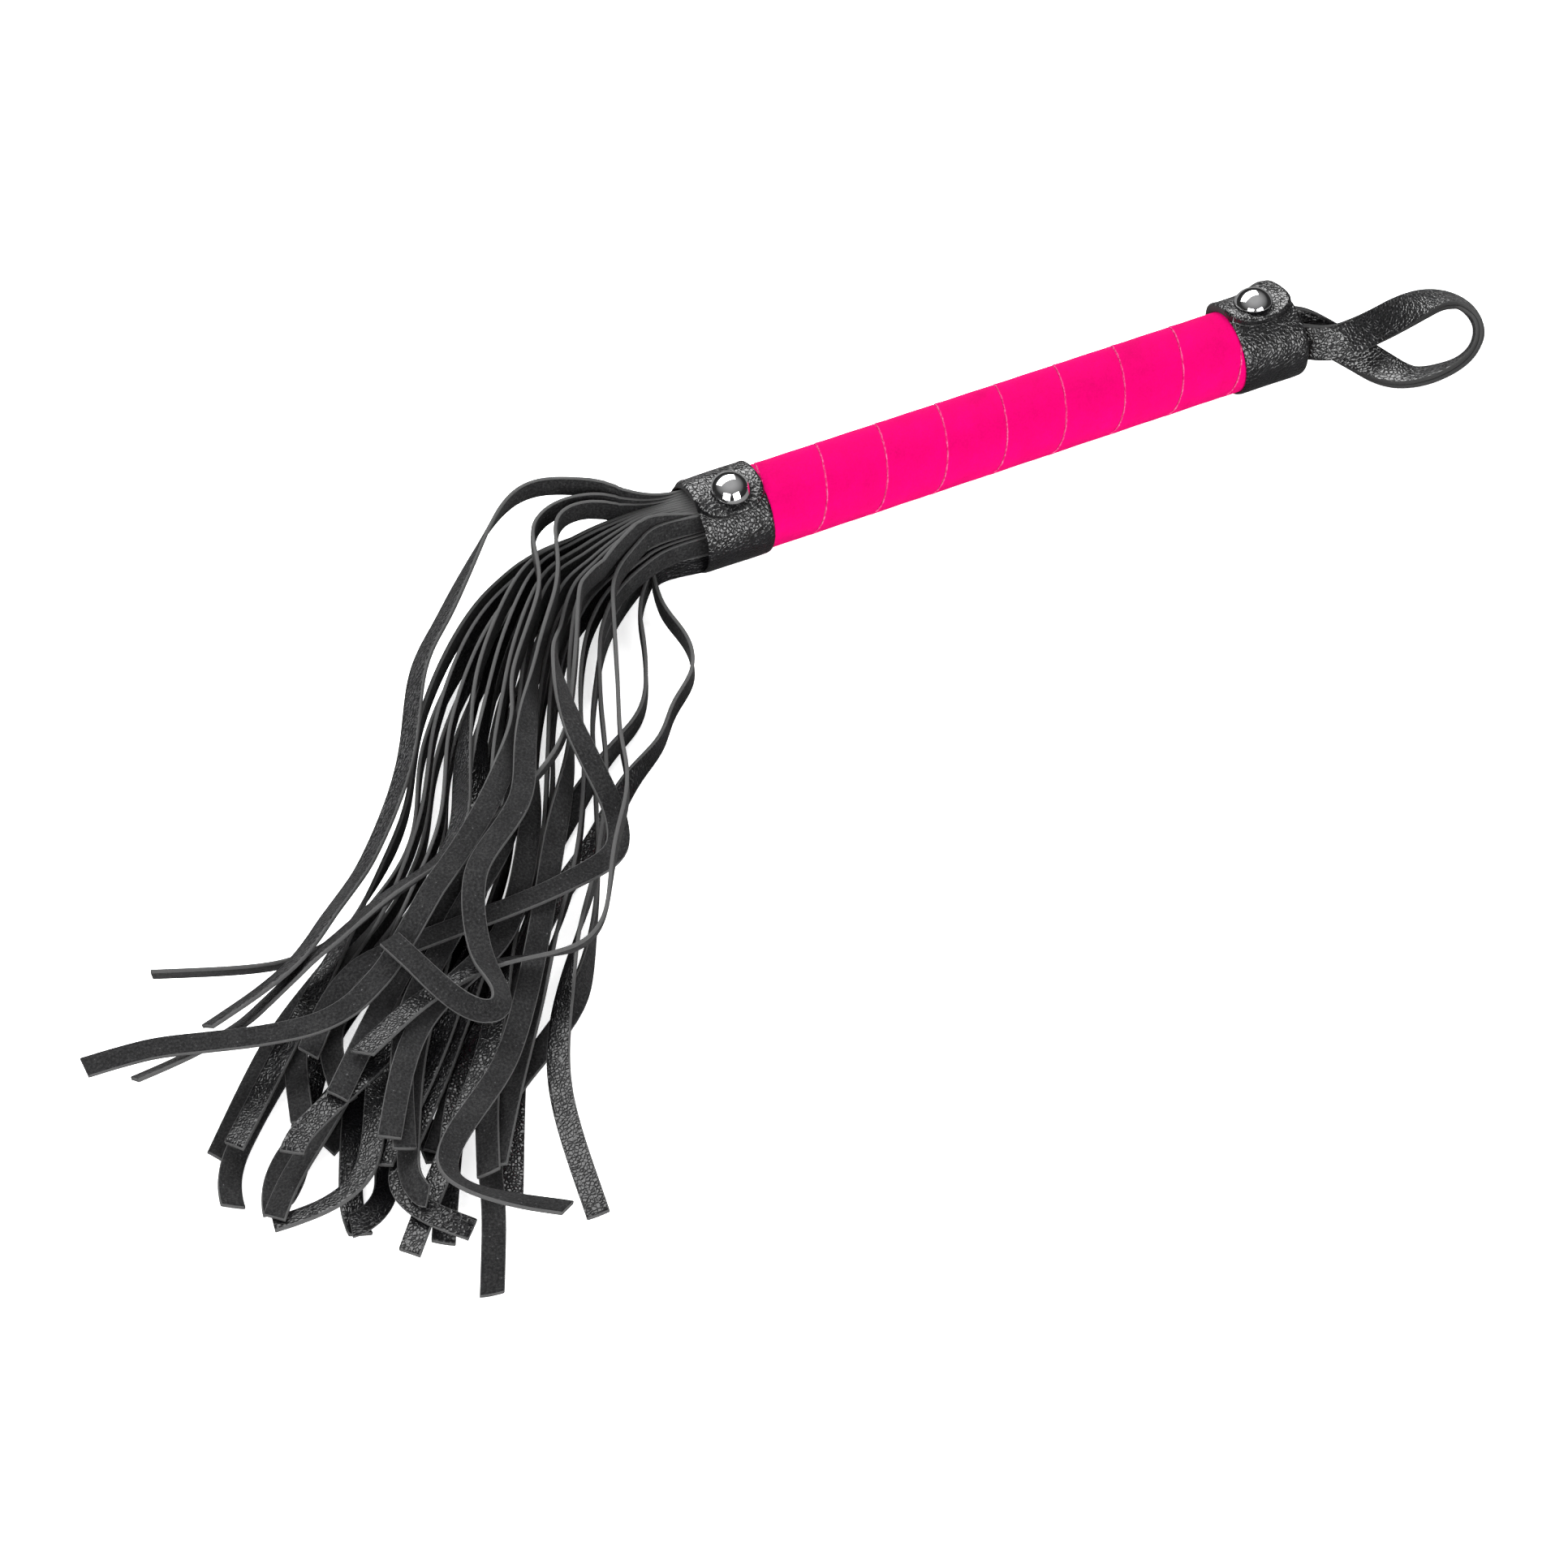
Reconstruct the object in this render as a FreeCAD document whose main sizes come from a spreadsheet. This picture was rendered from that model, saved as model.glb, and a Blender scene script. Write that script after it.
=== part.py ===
import FreeCAD, Part
import math
import os
import random

import Sketcher

# A short many-tailed whip: a wrapped dowel handle, a riveted leather collar at each end, a doubled
# wrist strap at +X and 36 flat leather tails at -X, lying on a table. Lengths in mm. The origin is the
# middle of the grip on the handle's axis; +X runs to the wrist strap, +Z up, and -Y is the near side.

SIZES = (
    ("gripDiameter", 21.5),
    ("gripLength", 135),
    ("wrapThickness", 0.9),
    ("wrapPitch", 17),
    ("wrapSeam", 0.4),
    ("wrapTuck", 3.4),
    ("coreReach", 80),
    ("collarWidth", 18.5),
    ("collarThickness", 1.2),
    ("collarLap", 84),
    ("collarRamp", 26),
    ("lapGap", 0.06),
    ("fitGap", 0.05),
    ("rivetInset", 8.5),
    ("capDiameter", 10),
    ("capHeight", 3.6),
    ("capSeat", 12.65),
    ("postDiameter", 3),
    ("postRoot", 5.5),
    ("postTop", 13.85),
    ("nearRivetTurn", 15.5),
    ("farRivetTurn", -5),
    ("pivotGap", 4),
    ("rootBall", 9),
    ("rootReach", 11.9),
    ("tailWide", 5.5),
    ("tailThick", 0.9),
    ("tailGap", 0.3),
    ("strapWide", 9),
    ("strapThick", 1.1),
    ("strapGap", 0.1),
)

TABLE = -12.0
# Every tail begins on this ring about the pivot, in one of three layers this far apart.
START_RING = 12.6
LAYER_STEP = 6.35
# Closer in than this the tails of a layer stand side by side; beyond it they lie on one another.
SIDE_BY_SIDE = 46
# The bundle's course: distance from the pivot, bearing of its middle, and half its spread in degrees.
STATIONS = (
    (25, 6, 29),
    (40, 14, 25),
    (65, 29, 20),
    (92, 38, 17),
    (120, 43.5, 12.5),
    (150, 44.5, 11),
    (185, 45, 10.5),
    (225, 47, 11),
    (310, 48, 12),
)


def polar(reach, bearing, height=TABLE):
    """A point seen from the pivot: bearing 0 runs straight out of the handle, and grows towards -Y."""
    angle = math.radians(bearing)
    return (-reach * math.cos(angle), -reach * math.sin(angle), height)


def on_start_ring(start, height):
    return (-math.sqrt(START_RING**2 - start**2), -start, height)


def lane_route(lane, start, dice, reach, easy, wild):
    """Waypoints of an ordinary tail that keeps to its lane of the bundle, a little wavy towards its tip."""
    points = [on_start_ring(start, TABLE)]
    for distance, middle, spread in STATIONS:
        loose = min(1.0, max(0.0, (distance - easy) / 90))
        sway = dice.uniform(-1, 1) * (0.03 + wild * loose)
        bearing = middle + spread * (lane + sway)
        if distance > reach:
            points.append(polar(reach, bearing))
            return points
        points.append(polar(distance, bearing))
    return points


def smooth_route(points, step=1.0):
    """Even steps along a smooth curve through the waypoints."""
    pts = [points[0]] + list(points) + [points[-1]]
    dense = []
    for a, b, c, d in zip(pts, pts[1:], pts[2:], pts[3:]):
        count = max(2, int(math.dist(b, c) / 0.4))
        for i in range(count):
            t = i / count
            dense.append(
                tuple(
                    0.5
                    * (
                        2 * q
                        + (r - p) * t
                        + (2 * p - 5 * q + 4 * r - s) * t * t
                        + (3 * q - p - 3 * r + s) * t**3
                    )
                    for p, q, r, s in zip(a, b, c, d)
                )
            )
    dense.append(tuple(points[-1]))
    for _ in range(2):
        dense = [mean_point(dense, i, min(12, i, len(dense) - 1 - i)) for i in range(len(dense))]
    even, left = [dense[0]], step
    for a, b in zip(dense, dense[1:]):
        gap = math.dist(a[:2], b[:2])
        while gap >= left:
            share = left / gap
            a = tuple(p + (q - p) * share for p, q in zip(a, b))
            even.append(a)
            gap -= left
            left = step
        left -= gap
    return even


def mean_point(points, middle, reach):
    window = points[middle - reach : middle + reach + 1]
    return tuple(sum(p[k] for p in window) / len(window) for k in range(len(window[0])))


def headings(points):
    """Unit direction in plan and curvature at each point."""
    n = len(points)
    out = []
    for i in range(n):
        a, b = points[max(0, i - 2)], points[min(n - 1, i + 2)]
        dx, dy = b[0] - a[0], b[1] - a[1]
        size = math.hypot(dx, dy)
        out.append((dx / size, dy / size))
    bends = []
    for i in range(n):
        a, b = out[max(0, i - 3)], out[min(n - 1, i + 3)]
        gap = min(n - 1, i + 3) - max(0, i - 3)
        bends.append(abs(a[0] * b[1] - a[1] * b[0]) / gap)
    return out, bends


def windowed(values, reach, merge):
    n = len(values)
    return [merge(values[max(0, i - reach(i)) : min(n, i + reach(i) + 1)]) for i in range(n)]


def average(values):
    return sum(values) / len(values)


def rolls(points, bends, flat_from, flat_to, most_flat, turn):
    """Roll along a tail: a quarter turn up on its edge, easing to flat where the bundle opens out."""
    flat = []
    for point, bend in zip(points, bends):
        share = (math.hypot(point[0], point[1]) - flat_from) / (flat_to - flat_from)
        share = min(1.0, max(0.0, share))
        flat.append(most_flat * share * min(1.0, max(0.0, 1.7 - 14 * bend)))
    flat = windowed(flat, lambda i: min(i, 12), average)
    flat = windowed(flat, lambda i: min(i, 8), average)
    return [math.radians(90 + turn * 90 * f) for f in flat]


def half_height(roll, wide, thick):
    return (wide * abs(math.sin(roll)) + thick * abs(math.cos(roll))) / 2


def half_spread(roll, wide, thick):
    return (wide * abs(math.cos(roll)) + thick * abs(math.sin(roll))) / 2


def section_span(roll, wide, thick, across):
    """Lowest and highest point of a rolled strip's section, from its middle, at a distance to the left."""
    c, s = math.cos(roll), math.sin(roll)
    low, high = (-wide / 2 - across * c) / s, (wide / 2 - across * c) / s
    if abs(c) > 0.05:
        ends = sorted(((-thick / 2 + across * s) / c, (thick / 2 + across * s) / c))
        low, high = max(low, ends[0]), min(high, ends[1])
    return (low, high) if low < high else ((low + high) / 2,) * 2


class Pile:
    """How high the tails laid so far reach, over the table and at each distance from the pivot."""

    def __init__(self, gap):
        self.gap = gap
        self.tops = {}
        self.rings = {}
        self.floor = {}

    def next_layer(self):
        """Close a layer: the next one stays above it at every distance, so that it can swing over it."""
        self.floor = dict(self.rings)

    def cells(self, point, heading, spread):
        count = int(spread / 0.3) + 1
        for k in range(-2 * count, 2 * count + 2):
            off = spread * (k // 2) / count
            on = 0.5 * (k % 2)
            x = point[0] + heading[0] * on - heading[1] * off
            y = point[1] + heading[1] * on + heading[0] * off
            yield (math.floor(2 * x), math.floor(2 * y)), int(math.hypot(x, y)), off

    def under(self, point, heading, roll, wide, thick, alone):
        """The lowest height a tail's lowest edge may take here."""
        best = TABLE
        half, spread = half_height(roll, wide, thick), half_spread(roll, wide, thick)
        for cell, ring, off in self.cells(point, heading, spread + 0.2):
            floor = max(self.floor.get(r, TABLE) for r in (ring - 1, ring, ring + 1))
            best = max(best, floor)
            if not alone and cell in self.tops:
                inside = max(-spread, min(spread, off)) * 0.98
                best = max(best, self.tops[cell] - half - section_span(roll, wide, thick, inside)[0])
        return best

    def add(self, point, heading, roll, wide, thick, middle, stretch):
        spread = half_spread(roll, wide, thick)
        top = middle + half_height(roll, wide, thick) * stretch
        for cell, ring, off in self.cells(point, heading, spread + 0.2):
            inside = max(-spread, min(spread, off)) * 0.98
            here = middle + section_span(roll, wide, thick, inside)[1] * stretch
            self.tops[cell] = max(self.tops.get(cell, TABLE), here + self.gap)
            self.rings[ring] = max(self.rings.get(ring, TABLE), top + self.gap)


def settle(pile, points, start_bottom, roll, wide, thick):
    """Centre heights of a tail laid on the pile, smooth and nowhere lower than what is under it."""
    ways, _ = headings(points)
    need = []
    for i, (point, way, turn) in enumerate(zip(points, ways, roll)):
        alone = math.hypot(point[0], point[1]) < SIDE_BY_SIDE
        low = pile.under(point, way, turn, wide, thick, alone)
        low = max(low, start_bottom - 0.11 * i, point[2])
        need.append(low)
    reach = lambda i: min(15, i // 2)
    need = windowed(need, reach, max)
    need = windowed(need, lambda i: int(reach(i) / 1.5), average)
    need = windowed(need, lambda i: 0 if reach(i) < 15 else 3, average)
    tall = [half_height(turn, wide, thick) for turn in roll]
    height = [a + b for a, b in zip(need, tall)]
    out = []
    for i, (low, half) in enumerate(zip(need, tall)):
        a, b = height[max(0, i - 2)], height[min(len(height) - 1, i + 2)]
        slope = (b - a) / (min(len(height) - 1, i + 2) - max(0, i - 2))
        stretch = math.sqrt(1 + slope * slope)
        out.append(low + half * stretch)
        pile.add(points[i], ways[i], roll[i], wide, thick, out[-1], stretch)
    return out


def hero(*rows):
    """A route given point by point: reach, bearing and, where the tail arches clear, its lowest height."""
    return [polar(*row) for row in rows]


# The tails that stand out from the bundle: layer, start across the mouth, route, roll rule, face shown.
STANDOUTS = (
    (0, 8.1, hero((22, 56), (31, 69), (43, 70), (54, 63), (66, 61), (80, 56), (100, 53), (125, 50), (150, 50),
     (180, 52), (216, 54)), (72, 96, 0.9, 1), -1),
    (0, 6.9, hero((23, 41), (34, 51), (49, 55.5), (59, 55), (72, 51), (95, 48), (130, 46), (170, 44),
     (212, 42)), (76, 100, 0.9, 1), 1),
    (0, 5.6, hero((25, 31), (40, 37), (65, 46), (92, 52), (120, 55), (150, 55.5), (171, 53.5), (186, 52),
     (204, 52), (222, 53.3), (245, 54.3)), (135, 165, 0.95, 1), 1),
    (2, 4.95, hero((17, 24.5, 8.6), (24, 26.5, 7), (32, 29, 4.5), (40, 31, 2), (46, 34), (70, 44), (96, 47.5),
     (118, 44), (141, 40), (152, 37.5), (164, 36), (176, 34), (186, 30), (196, 26.2)), (85, 115, 0.5, -1), 1),
    (2, -2.75, hero((25, -5), (42, 5), (70, 23), (100, 34), (128, 41), (142, 41.5), (155, 39), (169, 37),
     (186, 35), (199, 34), (212, 33), (226, 31.2)), (80, 105, 0.6, -1), 1),
    (2, 2.75, hero((25, 17.5), (40, 25), (70, 40), (95, 50), (110, 56.5), (121, 57.5), (131, 54), (143, 49),
     (161, 42.5), (172, 39.5), (183, 38.5), (198, 39)), (72, 94, 0.97, 1), 1),
    (2, 6.05, hero((25, 31), (31, 35), (47, 46), (66, 52), (84, 55), (107, 58), (126, 57.5), (141, 57.5),
     (149, 57), (156, 54.5), (160, 51), (166, 48), (178, 45), (198, 43)), (140, 172, 0.9, -1), 1),
    (2, -4.95, hero((18, -22.5, 8.6), (24, -21, 10.2), (29, -18.5, 9.8), (35, -10.5, 9), (38.5, -1, 8.2),
     (42, 11, 7.5), (49, 22.5, 6.5), (61, 29, 4), (80, 35), (93, 40), (115, 43), (145, 43), (175, 41.5),
     (190, 40), (204, 35.7), (218, 31), (230, 28.7)), (90, 120, 0.9, 1), 1),
    (2, -3.85, hero((18, -14.5, 7.6), (25, -13, 9.8), (31, -6, 10.5), (36, 12, 10.5), (46, 26, 10),
     (67, 35, 2), (98, 43), (120, 46.5), (145, 45.5), (163, 48), (175, 51), (181, 51.5), (182.5, 50),
     (180, 48), (175, 45), (168, 41)), (75, 105, 0.95, 1), 1),
    (2, -6.05, hero((18, -31, 10.4), (24, -30.5, 12), (31, -31, 11.6), (36, -28, 9.8), (42, -20, 7.6),
     (48, -10.5, 5.6), (58, 0.5, 4.5), (68, 8.4, 3), (84, 16.8), (108, 28), (128, 32), (152, 34),
     (180, 35), (206, 33)), (38, 60, 0.6, -1), 1),
)


def all_tails(wide, thick, gap):
    """Every tail as (layer, points, rolls, face), settled one on another from the table up."""
    dice = random.Random(7)
    laid = []
    pile = Pile(gap)
    for layer, half in enumerate((6.6, 8.9, 6.6)):
        special = [row for row in STANDOUTS if row[0] == layer]
        slots = start_slots(12, half, [row[1] for row in special])
        group = []
        turn = (1, -1, 1)[layer]
        for slot in slots[::turn]:
            lane = slot / half
            reach = 244 - 12 * lane * lane - dice.choice((0, 4, 9, 15, 24, 34))
            early = dice.uniform(0, 3) + (0, 0, 50)[layer]
            rule = (138 - early, 172 - early, dice.uniform(0.82, 0.9), turn)
            route = lane_route(lane, slot, dice, reach, (150, 150, 110)[layer], (0.2, 0.25, 0.3)[layer])
            group.append((route, rule, dice.choice((1, 1, -1)) * turn))
        extra = []
        bottom = (layer - 1) * LAYER_STEP - wide / 2
        for _, start, route, rule, face in special:
            first = on_start_ring(start, max(bottom, route[0][2] - 1.4))
            extra.append(([first] + route, rule, face))
        group = extra + group if layer == 0 else group + extra
        for route, rule, face in group:
            points = smooth_route(route)
            _, bends = headings(points)
            roll = rolls(points, bends, *rule)
            height = settle(pile, points, bottom, roll, wide, thick)
            laid.append((layer, [(p[0], p[1], z) for p, z in zip(points, height)], roll, face))
        pile.next_layer()
    return laid


def start_slots(total, half, taken):
    """Places across the mouth for the ordinary tails of a layer, leaving out those already taken."""
    every = [-half + 2 * half * (i + 0.5) / total for i in range(total)]
    for place in taken:
        every.remove(min(every, key=lambda y: abs(y - place)))
    return every

doc = FreeCAD.newDocument("Whip")
sheet = doc.addObject("Spreadsheet::Sheet", "Sizes")
for row, (alias, value) in enumerate(SIZES, 1):
    sheet.set(f"A{row}", alias)
    sheet.set(f"B{row}", str(value))
    sheet.setAlias(f"B{row}", alias)
doc.recompute()
made = []

X_AXIS = FreeCAD.Vector(1, 0, 0)


def size(alias):
    return float(sheet.get(alias))


def keep(thing, label):
    thing.Label = label
    made.append(thing)
    return thing


def new_body(label):
    return keep(doc.addObject("PartDesign::Body", label), label)


def sketch_on(body, role, name):
    """A sketch on one of the body's own origin planes."""
    sketch = body.newObject("Sketcher::SketchObject", name)
    plane = next(f for f in body.Origin.OriginFeatures if f.Role == role)
    sketch.AttachmentSupport = [(plane, "")]
    sketch.MapMode = "FlatFace"
    return sketch


def circle_sketch(body, role, name, radius):
    sketch = sketch_on(body, role, name)
    sketch.addGeometry(Part.Circle(FreeCAD.Vector(0, 0, 0), FreeCAD.Vector(0, 0, 1), 1))
    sketch.addConstraint(Sketcher.Constraint("Coincident", 0, 3, -1, 1))
    number = sketch.addConstraint(Sketcher.Constraint("Radius", 0, 1))
    sketch.setExpression(f"Constraints[{number}]", radius)
    return sketch


def outline(sketch, corners):
    """Straight closed outline through the corners."""
    points = [FreeCAD.Vector(a, b, 0) for a, b in corners]
    count = len(points)
    for start, end in zip(points, points[1:] + points[:1]):
        sketch.addGeometry(Part.LineSegment(start, end))
    for i in range(count):
        sketch.addConstraint(Sketcher.Constraint("Coincident", i, 2, (i + 1) % count, 1))


def rectangle(sketch, left, right, low, high, spans):
    """A rectangle whose left, right, low and high edges are held by expressions."""
    outline(sketch, [(left, low), (right, low), (right, high), (left, high)])
    for line, kind in ((0, "Horizontal"), (1, "Vertical"), (2, "Horizontal"), (3, "Vertical")):
        sketch.addConstraint(Sketcher.Constraint(kind, line))
    for kind, line, end, value, name in (
        ("DistanceX", 0, 1, left, spans[0]),
        ("DistanceX", 0, 2, right, spans[1]),
        ("DistanceY", 0, 1, low, spans[2]),
        ("DistanceY", 2, 1, high, spans[3]),
    ):
        number = sketch.addConstraint(Sketcher.Constraint(kind, -1, 1, line, end, value))
        sketch.setExpression(f"Constraints[{number}]", name)


def pad(body, sketch, length, both=False):
    feature = body.newObject("PartDesign::Pad", "Pad")
    feature.Profile = sketch
    feature.Midplane = both
    feature.setExpression("Length", length)
    return feature


def bore(body, name, radius, along, turn, start):
    """A round hole opening outwards from a radius: along the axis, turned about it."""
    sketch = circle_sketch(body, "XY_Plane", name, radius)
    sketch.AttachmentOffset = FreeCAD.Placement(FreeCAD.Vector(), FreeCAD.Rotation(X_AXIS, 10))
    sketch.setExpression("AttachmentOffset.Base.x", along)
    sketch.setExpression("AttachmentOffset.Base.y", f"-sin({turn} * 1deg) * ({start})")
    sketch.setExpression("AttachmentOffset.Base.z", f"cos({turn} * 1deg) * ({start})")
    sketch.setExpression("AttachmentOffset.Rotation.Angle", f"{turn} * 1deg")
    pocket = body.newObject("PartDesign::Pocket", name + "Cut")
    pocket.Profile = sketch
    pocket.Type = 1
    pocket.Reversed = True
    return pocket


GRIP = "Sizes.gripDiameter / 2"
SEATED = f"{GRIP} - Sizes.fitGap"
TURNED = f"{GRIP} - Sizes.wrapThickness - Sizes.fitGap"
TUCKED = "(Sizes.gripLength / 2 + Sizes.wrapTuck)"
RIVET = "(Sizes.gripLength / 2 + Sizes.rivetInset)"
HOLE = "Sizes.postDiameter / 2 + Sizes.fitGap"


def handle_core():
    """The dowel, turned down along the middle where the wrap sits, drilled for the two rivets."""
    body = new_body("handle_core")
    disc = circle_sketch(body, "YZ_Plane", "CoreRound", SEATED)
    pad(body, disc, "2 * Sizes.coreReach", True)
    doc.recompute()
    reach = size("gripLength") / 2 + size("wrapTuck") + 0.1
    low = size("gripDiameter") / 2 - size("wrapThickness") - size("fitGap")
    waist = sketch_on(body, "XZ_Plane", "CoreWaist")
    spans = (f"-({TUCKED} + 0.1)", f"{TUCKED} + 0.1", TURNED, f"{GRIP} + 3")
    rectangle(waist, -reach, reach, low, size("gripDiameter") / 2 + 3, spans)
    groove = body.newObject("PartDesign::Groove", "Waist")
    groove.Profile = waist
    groove.ReferenceAxis = (waist, ["H_Axis"])
    bore(body, "NearPostHole", HOLE, f"-{RIVET}", "Sizes.nearRivetTurn", "Sizes.postRoot - Sizes.fitGap")
    bore(body, "FarPostHole", HOLE, RIVET, "Sizes.farRivetTurn", "Sizes.postRoot - Sizes.fitGap")


def grip_wrap():
    """One ribbon wound left-handed around the dowel, its edges nearly touching, ends under the collars."""
    body = new_body("grip_wrap")
    high, wall = size("gripDiameter") / 2, size("wrapThickness")
    ring = sketch_on(body, "YZ_Plane", "WrapRing")
    for radius, expression in ((high, GRIP), (high - wall, f"{GRIP} - Sizes.wrapThickness")):
        line = ring.addGeometry(Part.Circle(FreeCAD.Vector(0, 0, 0), FreeCAD.Vector(0, 0, 1), radius))
        ring.addConstraint(Sketcher.Constraint("Coincident", line, 3, -1, 1))
        number = ring.addConstraint(Sketcher.Constraint("Radius", line, radius))
        ring.setExpression(f"Constraints[{number}]", expression)
    pad(body, ring, f"2 * {TUCKED}", True)
    doc.recompute()
    start, seam = -5.25 * size("wrapPitch"), size("wrapSeam")
    slot = sketch_on(body, "XZ_Plane", "SeamSection")
    spans = (
        "-5.25 * Sizes.wrapPitch",
        "-5.25 * Sizes.wrapPitch + Sizes.wrapSeam",
        f"{GRIP} - Sizes.wrapThickness - 1",
        f"{GRIP} + 1",
    )
    rectangle(slot, start, start + seam, high - wall - 1, high + 1, spans)
    seam_cut = body.newObject("PartDesign::SubtractiveHelix", "Seam")
    seam_cut.Profile = slot
    seam_cut.ReferenceAxis = (slot, ["H_Axis"])
    seam_cut.Mode = 0
    seam_cut.setExpression("Pitch", "Sizes.wrapPitch")
    seam_cut.setExpression("Height", "10.5 * Sizes.wrapPitch")
    seam_cut.LeftHanded = True


def strap_profile(sketch):
    """The end view of a strap wound once round and lapped over its own start, the lap at the top."""
    inner = size("gripDiameter") / 2 + size("fitGap")
    outer = inner + size("collarThickness")
    lap_in = outer + size("lapGap")
    lap_out = lap_in + size("collarThickness")
    begin = 90 - size("collarLap") / 2
    lift = 360 + begin - size("collarRamp")
    on_top = 360 + begin - 1
    finish = 360 + begin + size("collarLap")
    arcs = ((inner, begin, lift), (lap_in, on_top, finish), (lap_out, on_top, finish), (outer, begin, lift))
    centre, up = FreeCAD.Vector(0, 0, 0), FreeCAD.Vector(0, 0, 1)
    for radius, low, high in arcs:
        arc = Part.ArcOfCircle(Part.Circle(centre, up, radius), math.radians(low), math.radians(high))
        sketch.addGeometry(arc)
    ends = [(0, 2, 1, 1), (1, 2, 2, 2), (2, 1, 3, 2), (3, 1, 0, 1)]
    for first, first_end, second, second_end in ends:
        a, b = sketch.getPoint(first, first_end), sketch.getPoint(second, second_end)
        line = sketch.addGeometry(Part.LineSegment(a, b))
        sketch.addConstraint(Sketcher.Constraint("Coincident", first, first_end, line, 1))
        sketch.addConstraint(Sketcher.Constraint("Coincident", second, second_end, line, 2))
    inside = f"{GRIP} + Sizes.fitGap"
    layers = (inside, f"{inside} + Sizes.collarThickness + Sizes.lapGap")
    for arc, expression in zip((0, 1, 2, 3), (layers[0], layers[1], layers[1] + " + Sizes.collarThickness",
                                             layers[0] + " + Sizes.collarThickness")):
        sketch.addConstraint(Sketcher.Constraint("Coincident", arc, 3, -1, 1))
        number = sketch.addConstraint(Sketcher.Constraint("Radius", arc, arcs[arc][0]))
        sketch.setExpression(f"Constraints[{number}]", expression)


def collar(label, side, turn):
    """A leather strap wrapped round the end of the handle and riveted through its lap."""
    body = new_body(label)
    profile = sketch_on(body, "YZ_Plane", "StrapEndView")
    strap_profile(profile)
    pad(body, profile, "Sizes.collarWidth")
    doc.recompute()
    inset = "Sizes.rivetInset" if side > 0 else "Sizes.collarWidth - Sizes.rivetInset"
    bore(body, "PostHole", HOLE, inset, "0", "Sizes.postRoot")
    bore(body, "CapSeat", "Sizes.capDiameter / 2 + 0.3", inset, "0", "Sizes.capSeat - Sizes.fitGap")
    base = "Sizes.gripLength / 2" if side > 0 else "-(Sizes.gripLength / 2 + Sizes.collarWidth)"
    body.Placement = FreeCAD.Placement(FreeCAD.Vector(), FreeCAD.Rotation(X_AXIS, 10))
    body.setExpression("Placement.Base.x", base)
    body.setExpression("Placement.Rotation.Angle", f"{turn} * 1deg")


def stand_on_axis(thing, side, turn, start):
    """Put a rivet part on the handle: along it at the rivet, turned about it, out at a radius."""
    thing.Placement = FreeCAD.Placement(FreeCAD.Vector(), FreeCAD.Rotation(X_AXIS, 10))
    thing.setExpression("Placement.Base.x", f"{side} * {RIVET}")
    thing.setExpression("Placement.Base.y", f"-sin({turn} * 1deg) * {start}")
    thing.setExpression("Placement.Base.z", f"cos({turn} * 1deg) * {start}")
    thing.setExpression("Placement.Rotation.Angle", f"{turn} * 1deg")


def rivet_cap(label, side, turn):
    """A domed cap with a socket underneath for its post."""
    body = new_body(label)
    dome = sketch_on(body, "XZ_Plane", "DomeHalf")
    reach, height, rim = size("capDiameter") / 2, size("capHeight"), 0.5
    rise = height - rim
    radius = (reach**2 + rise**2) / (2 * rise)
    corners = [FreeCAD.Vector(a, b, 0) for a, b in ((0, height), (0, 0), (reach, 0), (reach, rim))]
    for start, end in zip(corners, corners[1:]):
        dome.addGeometry(Part.LineSegment(start, end))
    middle = FreeCAD.Vector(0, height - radius, 0)
    low = math.asin((rim - middle.y) / radius)
    ball = Part.Circle(middle, FreeCAD.Vector(0, 0, 1), radius)
    dome.addGeometry(Part.ArcOfCircle(ball, low, math.pi / 2))
    for first, second in ((0, 1), (1, 2)):
        dome.addConstraint(Sketcher.Constraint("Coincident", first, 2, second, 1))
    dome.addConstraint(Sketcher.Constraint("Coincident", 2, 2, 3, 1))
    dome.addConstraint(Sketcher.Constraint("Coincident", 3, 2, 0, 1))
    dome.addConstraint(Sketcher.Constraint("Coincident", 0, 2, -1, 1))
    dome.addConstraint(Sketcher.Constraint("Horizontal", 1))
    dome.addConstraint(Sketcher.Constraint("Vertical", 0))
    dome.addConstraint(Sketcher.Constraint("Vertical", 2))
    wide = dome.addConstraint(Sketcher.Constraint("DistanceX", 1, 1, 1, 2, reach))
    dome.setExpression(f"Constraints[{wide}]", "Sizes.capDiameter / 2")
    tall = dome.addConstraint(Sketcher.Constraint("DistanceY", 0, 2, 0, 1, height))
    dome.setExpression(f"Constraints[{tall}]", "Sizes.capHeight")
    spin = body.newObject("PartDesign::Revolution", "Dome")
    spin.Profile = dome
    spin.ReferenceAxis = (dome, ["V_Axis"])
    doc.recompute()
    socket = circle_sketch(body, "XY_Plane", "Socket", HOLE)
    cut = body.newObject("PartDesign::Pocket", "SocketCut")
    cut.Profile = socket
    cut.Reversed = True
    cut.setExpression("Length", "Sizes.postTop - Sizes.capSeat + Sizes.fitGap")
    stand_on_axis(body, side, turn, "Sizes.capSeat")


def rivet_post(label, side, turn):
    post = keep(doc.addObject("Part::Cylinder", label), label)
    post.setExpression("Radius", "Sizes.postDiameter / 2")
    post.setExpression("Height", "Sizes.postTop - Sizes.postRoot")
    stand_on_axis(post, side, turn, "Sizes.postRoot")


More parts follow.
